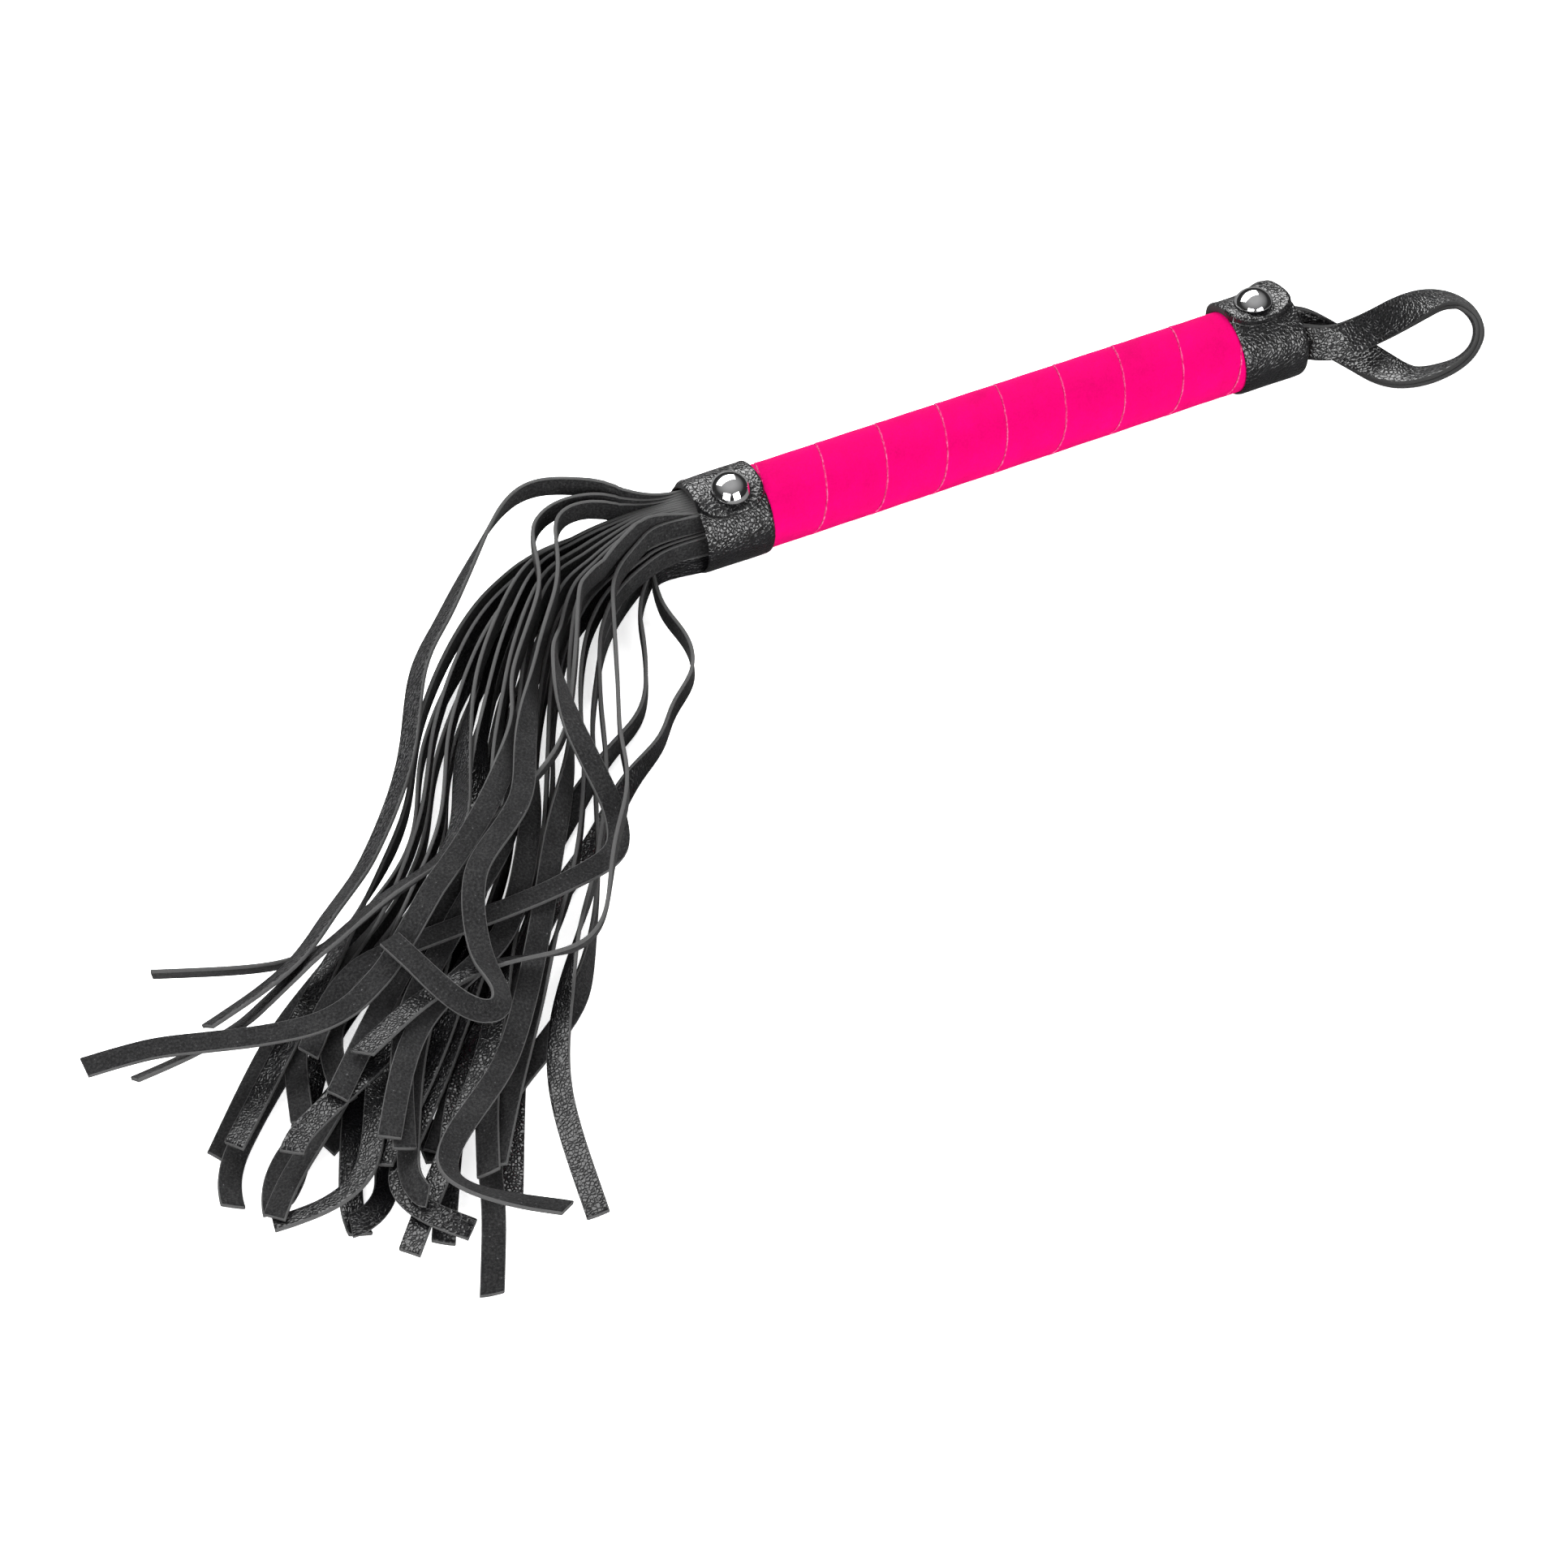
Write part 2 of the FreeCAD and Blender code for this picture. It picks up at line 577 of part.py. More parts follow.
def tail_root():
    """The gathered roots of the tails: a ball in the collar's mouth that flares to where the tails part."""
    ball = doc.addObject("Part::Sphere", "RootBall")
    ball.setExpression("Radius", "Sizes.rootBall")
    flare = doc.addObject("Part::Cone", "RootFlare")
    flare.setExpression("Radius1", "Sizes.rootBall - 0.3")
    flare.setExpression("Radius2", "Sizes.rootBall + 2.5")
    flare.setExpression("Height", "Sizes.rootReach")
    flare.Placement = FreeCAD.Placement(
        FreeCAD.Vector(-2, 0, 0), FreeCAD.Rotation(FreeCAD.Vector(0, 1, 0), -90)
    )
    whole = doc.addObject("Part::MultiFuse", "RootWhole")
    whole.Shapes = [ball, flare]
    drum = doc.addObject("Part::Cylinder", "RootDrum")
    drum.setExpression("Radius", "Sizes.rootReach")
    drum.Height = 60
    drum.Placement.Base = FreeCAD.Vector(0, 0, -30)
    root = keep(doc.addObject("Part::MultiCommon", "tail_root"), "tail_root")
    root.Shapes = [whole, drum]
    root.setExpression("Placement.Base.x", "-(Sizes.gripLength / 2 + Sizes.collarWidth + Sizes.pivotGap)")


def section_corners(points, rolls, wide, low, high):
    """The four corners of a flat strip at each point of its middle line, between two face heights."""
    ways, _ = headings(points)
    last = len(points) - 1
    rows = []
    for i, (point, way, roll) in enumerate(zip(points, ways, rolls)):
        a, b = points[max(0, i - 2)], points[min(last, i + 2)]
        run = math.hypot(b[0] - a[0], b[1] - a[1])
        rise = (b[2] - a[2]) * min(1, i / 9)
        ahead = FreeCAD.Vector(way[0] * run, way[1] * run, rise).normalize()
        left = FreeCAD.Vector(-way[1], way[0], 0)
        side = left * math.cos(roll) + ahead.cross(left) * math.sin(roll)
        face = ahead.cross(side)
        middle = FreeCAD.Vector(*point)
        pairs = ((-1, low), (1, low), (1, high), (-1, high))
        rows.append([middle + side * (wide / 2 * p) + face * q for p, q in pairs])
    return rows


def strip(rows, every):
    """A solid flat strip through its corners: four ruled faces between smooth edges, and two cut ends."""
    last = len(rows) - 1
    picked = [i for i in range(0, last, every) if last - i > every // 2] + [last]
    rows = [rows[i] for i in picked]
    edges = []
    for k in range(4):
        curve = Part.BSplineCurve()
        curve.interpolate(Points=[row[k] for row in rows], Parameters=[float(i) for i in picked])
        edges.append(curve)
    faces = [edges[k].makeRuledSurface(edges[(k + 1) % 4]).toShape() for k in range(4)]
    for row in (rows[0], rows[-1]):
        faces.append(Part.Face(Part.makePolygon(row + row[:1])))
    shell = Part.makeShell(faces)
    shell.sewShape()
    solid = Part.makeSolid(shell)
    return solid if solid.Volume > 0 else solid.reversed()


def soft_part(label, shape, along):
    thing = keep(doc.addObject("Part::Feature", label), label)
    thing.Shape = shape
    thing.setExpression("Placement.Base.x", along)


def tails():
    wide, thick = size("tailWide"), size("tailThick")
    counts = {}
    names = ("lower_tail", "middle_tail", "upper_tail")
    for layer, points, roll, _ in all_tails(wide, thick, size("tailGap")):
        counts[layer] = counts.get(layer, 0) + 1
        shape = strip(section_corners(points, roll, wide, -thick / 2, thick / 2), 3)
        label = f"{names[layer]}_{counts[layer]:02d}"
        soft_part(label, shape, "-(Sizes.gripLength / 2 + Sizes.collarWidth + Sizes.pivotGap)")


# The wrist strap's middle line from the end of the handle: along, across, height and lean from flat.
LOOP = (
    (-2.5, -2.6, -0.2, 84),
    (0.8, -4.2, 0, 76),
    (4.1, -7.7, 0.3, 68),
    (8.8, -10.1, 0.6, 58),
    (15, -9.9, 0.6, 48),
    (22.2, -8.2, -0.2, 38),
    (30.3, -5.2, -1.8, 24),
    (37.6, -2.7, -3.2, 8),
    (43.6, -1.4, -4.3, -8),
    (48.4, -2.4, -5.4, -22),
    (51, -5.6, -6.4, -40),
    (50.9, -10.8, -7.1, -62),
    (48.8, -15.4, -7.4, -88),
    (44.9, -19.4, -7.8, -112),
    (39.6, -22.1, -8, -134),
    (33.7, -23.1, -8.3, -148),
    (27.4, -22.4, -8.6, -160),
    (22.5, -19.4, -8.5, -180),
    (19.6, -14.8, -8.2, -198),
    (17.6, -10.1, -7.7, -211),
    (15.3, -5.9, -7, -219),
    (12.1, -2, -5.4, -228),
    (8.7, 1.5, -3.5, -243),
    (5.3, 3.8, -1.8, -258),
    (1.6, 4.8, -1, -266),
    (-2.5, 4.3, -0.5, -269),
)


def wrist_loop():
    """The doubled wrist strap: two plies of one twisted loop that crosses under itself once."""
    route = smooth_route([row for row in LOOP], 1.0)
    points = [row[:3] for row in route]
    lean = [math.radians(row[3]) for row in route]
    near = size("strapGap") / 2
    far = near + size("strapThick")
    for label, low, high in (
        ("wrist_strap_outer_ply", near, far),
        ("wrist_strap_inner_ply", -far, -near),
    ):
        shape = strip(section_corners(points, lean, size("strapWide"), low, high), 2)
        soft_part(label, shape, "Sizes.gripLength / 2 + Sizes.collarWidth")


def build():
    handle_core()
    grip_wrap()
    collar("tail_collar", -1, "Sizes.nearRivetTurn")
    collar("loop_collar", 1, "Sizes.farRivetTurn")
    for name, side, turn in (
        ("tail_rivet", -1, "Sizes.nearRivetTurn"),
        ("loop_rivet", 1, "Sizes.farRivetTurn"),
    ):
        rivet_cap(name + "_cap", side, turn)
        rivet_post(name + "_post", side, turn)
    wrist_loop()
    tail_root()
    tails()
    doc.recompute()


def write_out():
    os.makedirs("parts", exist_ok=True)
    for thing in doc.Objects:
        if "Invalid" in thing.State or "Error" in thing.State:
            raise SystemExit(f"{thing.Label} is {thing.State}")
    for thing in made:
        shape = thing.Shape
        if shape.isNull() or not shape.isValid() or len(shape.Solids) != 1:
            raise SystemExit(f"{thing.Label} has no single valid solid")
        shape.exportStep(f"parts/{thing.Label}.step")
    print(len(made), "parts written")


build()
write_out()
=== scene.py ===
import math
import random

import bmesh
import bpy
import numpy as np
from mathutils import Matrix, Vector


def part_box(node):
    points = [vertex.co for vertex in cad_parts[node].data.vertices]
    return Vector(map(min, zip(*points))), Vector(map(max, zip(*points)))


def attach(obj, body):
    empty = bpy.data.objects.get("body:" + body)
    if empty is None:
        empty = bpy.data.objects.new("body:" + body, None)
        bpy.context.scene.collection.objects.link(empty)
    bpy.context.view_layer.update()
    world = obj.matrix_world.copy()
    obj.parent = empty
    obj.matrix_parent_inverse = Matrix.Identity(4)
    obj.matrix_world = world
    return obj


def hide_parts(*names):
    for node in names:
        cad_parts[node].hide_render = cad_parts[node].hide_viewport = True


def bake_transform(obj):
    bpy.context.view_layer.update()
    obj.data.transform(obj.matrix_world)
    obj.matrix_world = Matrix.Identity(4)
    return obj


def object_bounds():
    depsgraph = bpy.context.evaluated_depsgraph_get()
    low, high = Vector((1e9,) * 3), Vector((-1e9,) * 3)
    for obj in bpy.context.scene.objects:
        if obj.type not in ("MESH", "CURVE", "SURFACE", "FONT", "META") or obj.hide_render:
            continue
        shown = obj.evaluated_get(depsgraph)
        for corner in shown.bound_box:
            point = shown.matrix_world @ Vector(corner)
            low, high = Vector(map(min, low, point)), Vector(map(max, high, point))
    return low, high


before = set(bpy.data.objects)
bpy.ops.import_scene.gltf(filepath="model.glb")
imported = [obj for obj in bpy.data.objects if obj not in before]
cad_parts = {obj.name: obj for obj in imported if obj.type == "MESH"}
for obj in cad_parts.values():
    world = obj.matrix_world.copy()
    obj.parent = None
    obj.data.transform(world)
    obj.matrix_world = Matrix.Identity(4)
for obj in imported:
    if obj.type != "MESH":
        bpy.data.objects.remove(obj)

rest_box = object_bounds()
# Lengths are millimetres in the frame of the part and become metres where a mesh is made.
MM = 0.001


def extent(node):
    """Lowest and highest corner of a CAD node."""
    return [[v / MM for v in corner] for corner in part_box(node)]


GRIP = extent("grip_wrap")
COLLAR = extent("loop_collar")
RADIUS = GRIP[1][1]
COLLAR_START, COLLAR_END = COLLAR[0][0], COLLAR[1][0]
COLLAR_WIDE = COLLAR_END - COLLAR_START
# The ribbon of the grip: its width, and the turn about the handle that places its seams, in degrees.
PITCH = 17.0
SEAM_TURN = 215
# A tail: the width and thickness the pile is reckoned with, the clearance over it, and the drawn thickness.
TAIL_WIDE, TAIL_THICK, TAIL_GAP = 5.5, 0.9, 0.3
TAIL_DRAWN = 0.96
# The wrist strap: its width, the thickness of a ply and how far each ply's middle is from the strap's.
STRAP_WIDE, PLY_THICK, PLY_OFFSET = 9.0, 1.14, 0.6
# A rivet: distance from the inner edge of its collar, cap radius, cap height and where the cap is seated.
RIVET_INSET = 8.5
CAP_REACH, CAP_HEIGHT, CAP_SEAT = 5.0, 3.6, 12.65
# How far each rivet leans from the top of the handle, in degrees, at the tail end and at the wrist end.
TAIL_END_TURN, WRIST_END_TURN = 15.5, -5.0
# The tails bend about this place on the handle's axis.
PIVOT = -(COLLAR_END + 4)


# ---- how the tails lie, as in the part's source --------------------------------

TABLE = -12.0
# Every tail begins on this ring about the pivot, in one of three layers this far apart.
START_RING = 12.6
LAYER_STEP = 6.35
# A step along a tail, seen from above.
STEP = 1.0
LAYERS = ("lower", "middle", "upper")
TAILS_PER_LAYER = 12
# For each layer: half its spread across the mouth, the way its tails turn flat, how far out its ordinary
# tails stay in line, how much they stray after that, and how much nearer the pivot they turn flat.
LAYER_RULES = ((6.6, 1, 150, 0.2, 0), (8.9, -1, 150, 0.25, 0), (6.6, 1, 110, 0.3, 50))
# Closer in than this the tails of a layer stand side by side; beyond it they lie on one another.
SIDE_BY_SIDE = 46
# The bundle's course: distance from the pivot, bearing of its middle, and half its spread in degrees.
STATIONS = (
    (25, 6, 29),
    (40, 14, 25),
    (65, 29, 20),
    (92, 38, 17),
    (120, 43.5, 12.5),
    (150, 44.5, 11),
    (185, 45, 10.5),
    (225, 47, 11),
    (310, 48, 12),
)


def polar(reach, bearing, height=TABLE):
    """A point seen from the pivot: bearing 0 runs straight out of the handle, and grows towards -Y."""
    angle = math.radians(bearing)
    return (-reach * math.cos(angle), -reach * math.sin(angle), height)


def on_start_ring(start, height):
    """Where a tail begins, by its place across the mouth."""
    return (-math.sqrt(START_RING**2 - start**2), -start, height)


def lane_route(lane, start, dice, reach, easy, wild):
    """Waypoints of an ordinary tail that keeps to its lane of the bundle, a little wavy towards its tip."""
    points = [on_start_ring(start, TABLE)]
    for distance, middle, spread in STATIONS:
        loose = min(1.0, max(0.0, (distance - easy) / 90))
        sway = dice.uniform(-1, 1) * (0.03 + wild * loose)
        bearing = middle + spread * (lane + sway)
        if distance > reach:
            points.append(polar(reach, bearing))
            return points
        points.append(polar(distance, bearing))
    return points


def smooth_route(points):
    """Even steps, seen from above, along a smooth curve through the waypoints."""
    pts = [points[0]] + list(points) + [points[-1]]
    dense = []
    for a, b, c, d in zip(pts, pts[1:], pts[2:], pts[3:]):
        count = max(2, int(math.dist(b, c) / 0.4))
        for i in range(count):
            t = i / count
            dense.append(tuple(between(t, *four) for four in zip(a, b, c, d)))
    dense.append(tuple(points[-1]))
    for _ in range(2):
        dense = [mean_point(dense, i, min(12, i, len(dense) - 1 - i)) for i in range(len(dense))]
    even, left = [dense[0]], STEP
    for a, b in zip(dense, dense[1:]):
        gap = math.dist(a[:2], b[:2])
        while gap >= left:
            share = left / gap
            a = tuple(p + (q - p) * share for p, q in zip(a, b))
            even.append(a)
            gap -= left
            left = STEP
        left -= gap
    return even


def between(t, p, q, r, s):
    """The Catmull-Rom curve from q to r."""
    return 0.5 * (2 * q + (r - p) * t + (2 * p - 5 * q + 4 * r - s) * t * t + (3 * q - p - 3 * r + s) * t**3)


def mean_point(points, middle, reach):
    window = points[middle - reach : middle + reach + 1]
    return tuple(sum(p[k] for p in window) / len(window) for k in range(len(window[0])))


def headings(points):
    """Unit direction in plan and curvature at each point."""
    n = len(points)
    out = []
    for i in range(n):
        a, b = points[max(0, i - 2)], points[min(n - 1, i + 2)]
        dx, dy = b[0] - a[0], b[1] - a[1]
        size = math.hypot(dx, dy)
        out.append((dx / size, dy / size))
    bends = []
    for i in range(n):
        a, b = out[max(0, i - 3)], out[min(n - 1, i + 3)]
        gap = min(n - 1, i + 3) - max(0, i - 3)
        bends.append(abs(a[0] * b[1] - a[1] * b[0]) / gap)
    return out, bends


def windowed(values, reach, merge):
    """Each value merged with those up to reach(i) places away on both sides."""
    n = len(values)
    return [merge(values[max(0, i - reach(i)) : min(n, i + reach(i) + 1)]) for i in range(n)]


def average(values):
    return sum(values) / len(values)


def rolls(points, bends, flat_from, flat_to, most_flat, turn):
    """Roll along a tail: a quarter turn up on its edge, easing to flat where the bundle opens out."""
    flat = []
    for point, bend in zip(points, bends):
        share = (math.hypot(point[0], point[1]) - flat_from) / (flat_to - flat_from)
        share = min(1.0, max(0.0, share))
        flat.append(most_flat * share * min(1.0, max(0.0, 1.7 - 14 * bend)))
    flat = windowed(flat, lambda i: min(i, 12), average)
    flat = windowed(flat, lambda i: min(i, 8), average)
    return [math.radians(90 + turn * 90 * f) for f in flat]


def half_height(roll, wide, thick):
    """Half the height of a rolled strip's section."""
    return (wide * abs(math.sin(roll)) + thick * abs(math.cos(roll))) / 2


def half_spread(roll, wide, thick):
    """Half the breadth of a rolled strip's section, seen from above."""
    return (wide * abs(math.cos(roll)) + thick * abs(math.sin(roll))) / 2


def section_span(roll, wide, thick, across):
    """Lowest and highest point of a rolled strip's section, from its middle, at a distance to the left."""
    c, s = math.cos(roll), math.sin(roll)
    low, high = (-wide / 2 - across * c) / s, (wide / 2 - across * c) / s
    if abs(c) > 0.05:
        ends = sorted(((-thick / 2 + across * s) / c, (thick / 2 + across * s) / c))
        low, high = max(low, ends[0]), min(high, ends[1])
    return (low, high) if low < high else ((low + high) / 2,) * 2


class Pile:
    """How high the tails laid so far reach, at each spot of the table and at each distance from the pivot."""

    def __init__(self, gap):
        self.gap = gap
        self.tops = {}
        self.rings = {}
        self.floor = {}

    def next_layer(self):
        """Close a layer: the next one stays above it at every distance, so that it can swing over it."""
        self.floor = dict(self.rings)

    def cells(self, point, heading, spread):
        """The squares under one step of a tail, with their distance from the pivot and from its middle."""
        count = int(spread / 0.3) + 1
        for k in range(-2 * count, 2 * count + 2):
            off = spread * (k // 2) / count
            on = 0.5 * (k % 2)
            x = point[0] + heading[0] * on - heading[1] * off
            y = point[1] + heading[1] * on + heading[0] * off
            yield (math.floor(2 * x), math.floor(2 * y)), int(math.hypot(x, y)), off

    def under(self, point, heading, roll, wide, thick, alone):
        """The lowest height a tail's lowest edge may take here."""
        best = TABLE
        half, spread = half_height(roll, wide, thick), half_spread(roll, wide, thick)
        for cell, ring, off in self.cells(point, heading, spread + 0.2):
            floor = max(self.floor.get(r, TABLE) for r in (ring - 1, ring, ring + 1))
            best = max(best, floor)
            if not alone and cell in self.tops:
                inside = max(-spread, min(spread, off)) * 0.98
                best = max(best, self.tops[cell] - half - section_span(roll, wide, thick, inside)[0])
        return best

    def add(self, point, heading, roll, wide, thick, middle, stretch):
        """Lay one step of a tail on the pile."""
        spread = half_spread(roll, wide, thick)
        top = middle + half_height(roll, wide, thick) * stretch
        for cell, ring, off in self.cells(point, heading, spread + 0.2):
            inside = max(-spread, min(spread, off)) * 0.98
            here = middle + section_span(roll, wide, thick, inside)[1] * stretch
            self.tops[cell] = max(self.tops.get(cell, TABLE), here + self.gap)
            self.rings[ring] = max(self.rings.get(ring, TABLE), top + self.gap)


def settle(pile, points, start_bottom, roll, wide, thick):
    """Centre heights of a tail laid on the pile, smooth and nowhere lower than what is under it."""
    ways, _ = headings(points)
    need = []
    for i, (point, way, turn) in enumerate(zip(points, ways, roll)):
        alone = math.hypot(point[0], point[1]) < SIDE_BY_SIDE
        low = pile.under(point, way, turn, wide, thick, alone)
        low = max(low, start_bottom - 0.11 * i, point[2])
        need.append(low)
    reach = lambda i: min(15, i // 2)
    need = windowed(need, reach, max)
    need = windowed(need, lambda i: int(reach(i) / 1.5), average)
    need = windowed(need, lambda i: 0 if reach(i) < 15 else 3, average)
    tall = [half_height(turn, wide, thick) for turn in roll]
    height = [a + b for a, b in zip(need, tall)]
    out = []
    for i, (low, half) in enumerate(zip(need, tall)):
        a, b = height[max(0, i - 2)], height[min(len(height) - 1, i + 2)]
        slope = (b - a) / (min(len(height) - 1, i + 2) - max(0, i - 2))
        stretch = math.sqrt(1 + slope * slope)
        out.append(low + half * stretch)
        pile.add(points[i], ways[i], roll[i], wide, thick, out[-1], stretch)
    return out


def hero(*rows):
    """A route given point by point: reach, bearing and, where the tail arches clear, its lowest height."""
    return [polar(*row) for row in rows]


# The tails that stand out from the bundle: layer, start across the mouth, route, roll rule, face shown.
# The first in the top layer ends a little more on its edge here than in the part's source.
STANDOUTS = (
    (0, 8.1, hero((22, 56), (31, 69), (43, 70), (54, 63), (66, 61), (80, 56), (100, 53), (125, 50), (150, 50),
     (180, 52), (216, 54)), (72, 96, 0.9, 1), -1),
    (0, 6.9, hero((23, 41), (34, 51), (49, 55.5), (59, 55), (72, 51), (95, 48), (130, 46), (170, 44),
     (212, 42)), (76, 100, 0.9, 1), 1),
    (0, 5.6, hero((25, 31), (40, 37), (65, 46), (92, 52), (120, 55), (150, 55.5), (171, 53.5), (186, 52),
     (204, 52), (222, 53.3), (245, 54.3)), (135, 165, 0.95, 1), 1),
    (2, 4.95, hero((17, 24.5, 8.6), (24, 26.5, 7), (32, 29, 4.5), (40, 31, 2), (46, 34), (70, 44), (96, 47.5),
     (118, 44), (141, 40), (152, 37.5), (164, 36), (176, 34), (186, 30), (196, 26.2)),
     (85, 115, 0.33, -1), 1),
    (2, -2.75, hero((25, -5), (42, 5), (70, 23), (100, 34), (128, 41), (142, 41.5), (155, 39), (169, 37),
     (186, 35), (199, 34), (212, 33), (226, 31.2)), (80, 105, 0.6, -1), 1),
    (2, 2.75, hero((25, 17.5), (40, 25), (70, 40), (95, 50), (110, 56.5), (121, 57.5), (131, 54), (143, 49),
     (161, 42.5), (172, 39.5), (183, 38.5), (198, 39)), (72, 94, 0.97, 1), 1),
    (2, 6.05, hero((25, 31), (31, 35), (47, 46), (66, 52), (84, 55), (107, 58), (126, 57.5), (141, 57.5),
     (149, 57), (156, 54.5), (160, 51), (166, 48), (178, 45), (198, 43)), (140, 172, 0.9, -1), 1),
    (2, -4.95, hero((18, -22.5, 8.6), (24, -21, 10.2), (29, -18.5, 9.8), (35, -10.5, 9), (38.5, -1, 8.2),
     (42, 11, 7.5), (49, 22.5, 6.5), (61, 29, 4), (80, 35), (93, 40), (115, 43), (145, 43), (175, 41.5),
     (190, 40), (204, 35.7), (218, 31), (230, 28.7)), (90, 120, 0.9, 1), 1),
    (2, -3.85, hero((18, -14.5, 7.6), (25, -13, 9.8), (31, -6, 10.5), (36, 12, 10.5), (46, 26, 10),
     (67, 35, 2), (98, 43), (120, 46.5), (145, 45.5), (163, 48), (175, 51), (181, 51.5), (182.5, 50),
     (180, 48), (175, 45), (168, 41)), (75, 105, 0.95, 1), 1),
    (2, -6.05, hero((18, -31, 10.4), (24, -30.5, 12), (31, -31, 11.6), (36, -28, 9.8), (42, -20, 7.6),
     (48, -10.5, 5.6), (58, 0.5, 4.5), (68, 8.4, 3), (84, 16.8), (108, 28), (128, 32), (152, 34),
     (180, 35), (206, 33)), (38, 60, 0.6, -1), 1),
)


def all_tails(wide, thick, gap):
    """Every tail as (layer, points, rolls, face), settled one on another from the table up."""
    dice = random.Random(7)
    laid = []
    pile = Pile(gap)
    for layer, (half, turn, easy, wild, nearer) in enumerate(LAYER_RULES):
        special = [row for row in STANDOUTS if row[0] == layer]
        slots = start_slots(TAILS_PER_LAYER, half, [row[1] for row in special])
        group = []
        for slot in slots[::turn]:
            lane = slot / half
            reach = 244 - 12 * lane * lane - dice.choice((0, 4, 9, 15, 24, 34))
            early = dice.uniform(0, 3) + nearer
            rule = (138 - early, 172 - early, dice.uniform(0.82, 0.9), turn)
            route = lane_route(lane, slot, dice, reach, easy, wild)
            group.append((route, rule, dice.choice((1, 1, -1)) * turn))
        extra = []
        bottom = (layer - 1) * LAYER_STEP - wide / 2
        for _, start, route, rule, face in special:
            first = on_start_ring(start, max(bottom, route[0][2] - 1.4))
            extra.append(([first] + route, rule, face))
        group = extra + group if layer == 0 else group + extra
        for route, rule, face in group:
            points = smooth_route(route)
            _, bends = headings(points)
            roll = rolls(points, bends, *rule)
            height = settle(pile, points, bottom, roll, wide, thick)
            laid.append((layer, [(p[0], p[1], z) for p, z in zip(points, height)], roll, face))
        pile.next_layer()
    return laid


def start_slots(total, half, taken):
    """Places across the mouth for the ordinary tails of a layer, leaving out those already taken."""
    every = [-half + 2 * half * (i + 0.5) / total for i in range(total)]
    for place in taken:
        every.remove(min(every, key=lambda y: abs(y - place)))
    return every


# The wrist strap's middle line from the end of the handle: along, across, height and lean from flat.
LOOP = (
    (-2.5, -2.6, -0.2, 84),
    (0.8, -4.2, 0, 76),
    (4.1, -7.7, 0.3, 68),
    (8.8, -10.1, 0.6, 58),
    (15, -9.9, 0.6, 48),
    (22.2, -8.2, -0.2, 38),
    (30.3, -5.2, -1.8, 24),
    (37.6, -2.7, -3.2, 8),
    (43.6, -1.4, -4.3, -8),
    (48.4, -2.4, -5.4, -22),
    (51, -5.6, -6.4, -40),
    (50.9, -10.8, -7.1, -62),
    (48.8, -15.4, -7.4, -88),
    (44.9, -19.4, -7.8, -112),
    (39.6, -22.1, -8, -134),
    (33.7, -23.1, -8.3, -148),
    (27.4, -22.4, -8.6, -160),
    (22.5, -19.4, -8.5, -180),
    (19.6, -14.8, -8.2, -198),
    (17.6, -10.1, -7.7, -211),
    (15.3, -5.9, -7, -219),
    (12.1, -2, -5.4, -228),
    (8.7, 1.5, -3.5, -243),
    (5.3, 3.8, -1.8, -258),
    (1.6, 4.8, -1, -266),
    (-2.5, 4.3, -0.5, -269),
)


# ---- materials ---------------------------------------------------------------


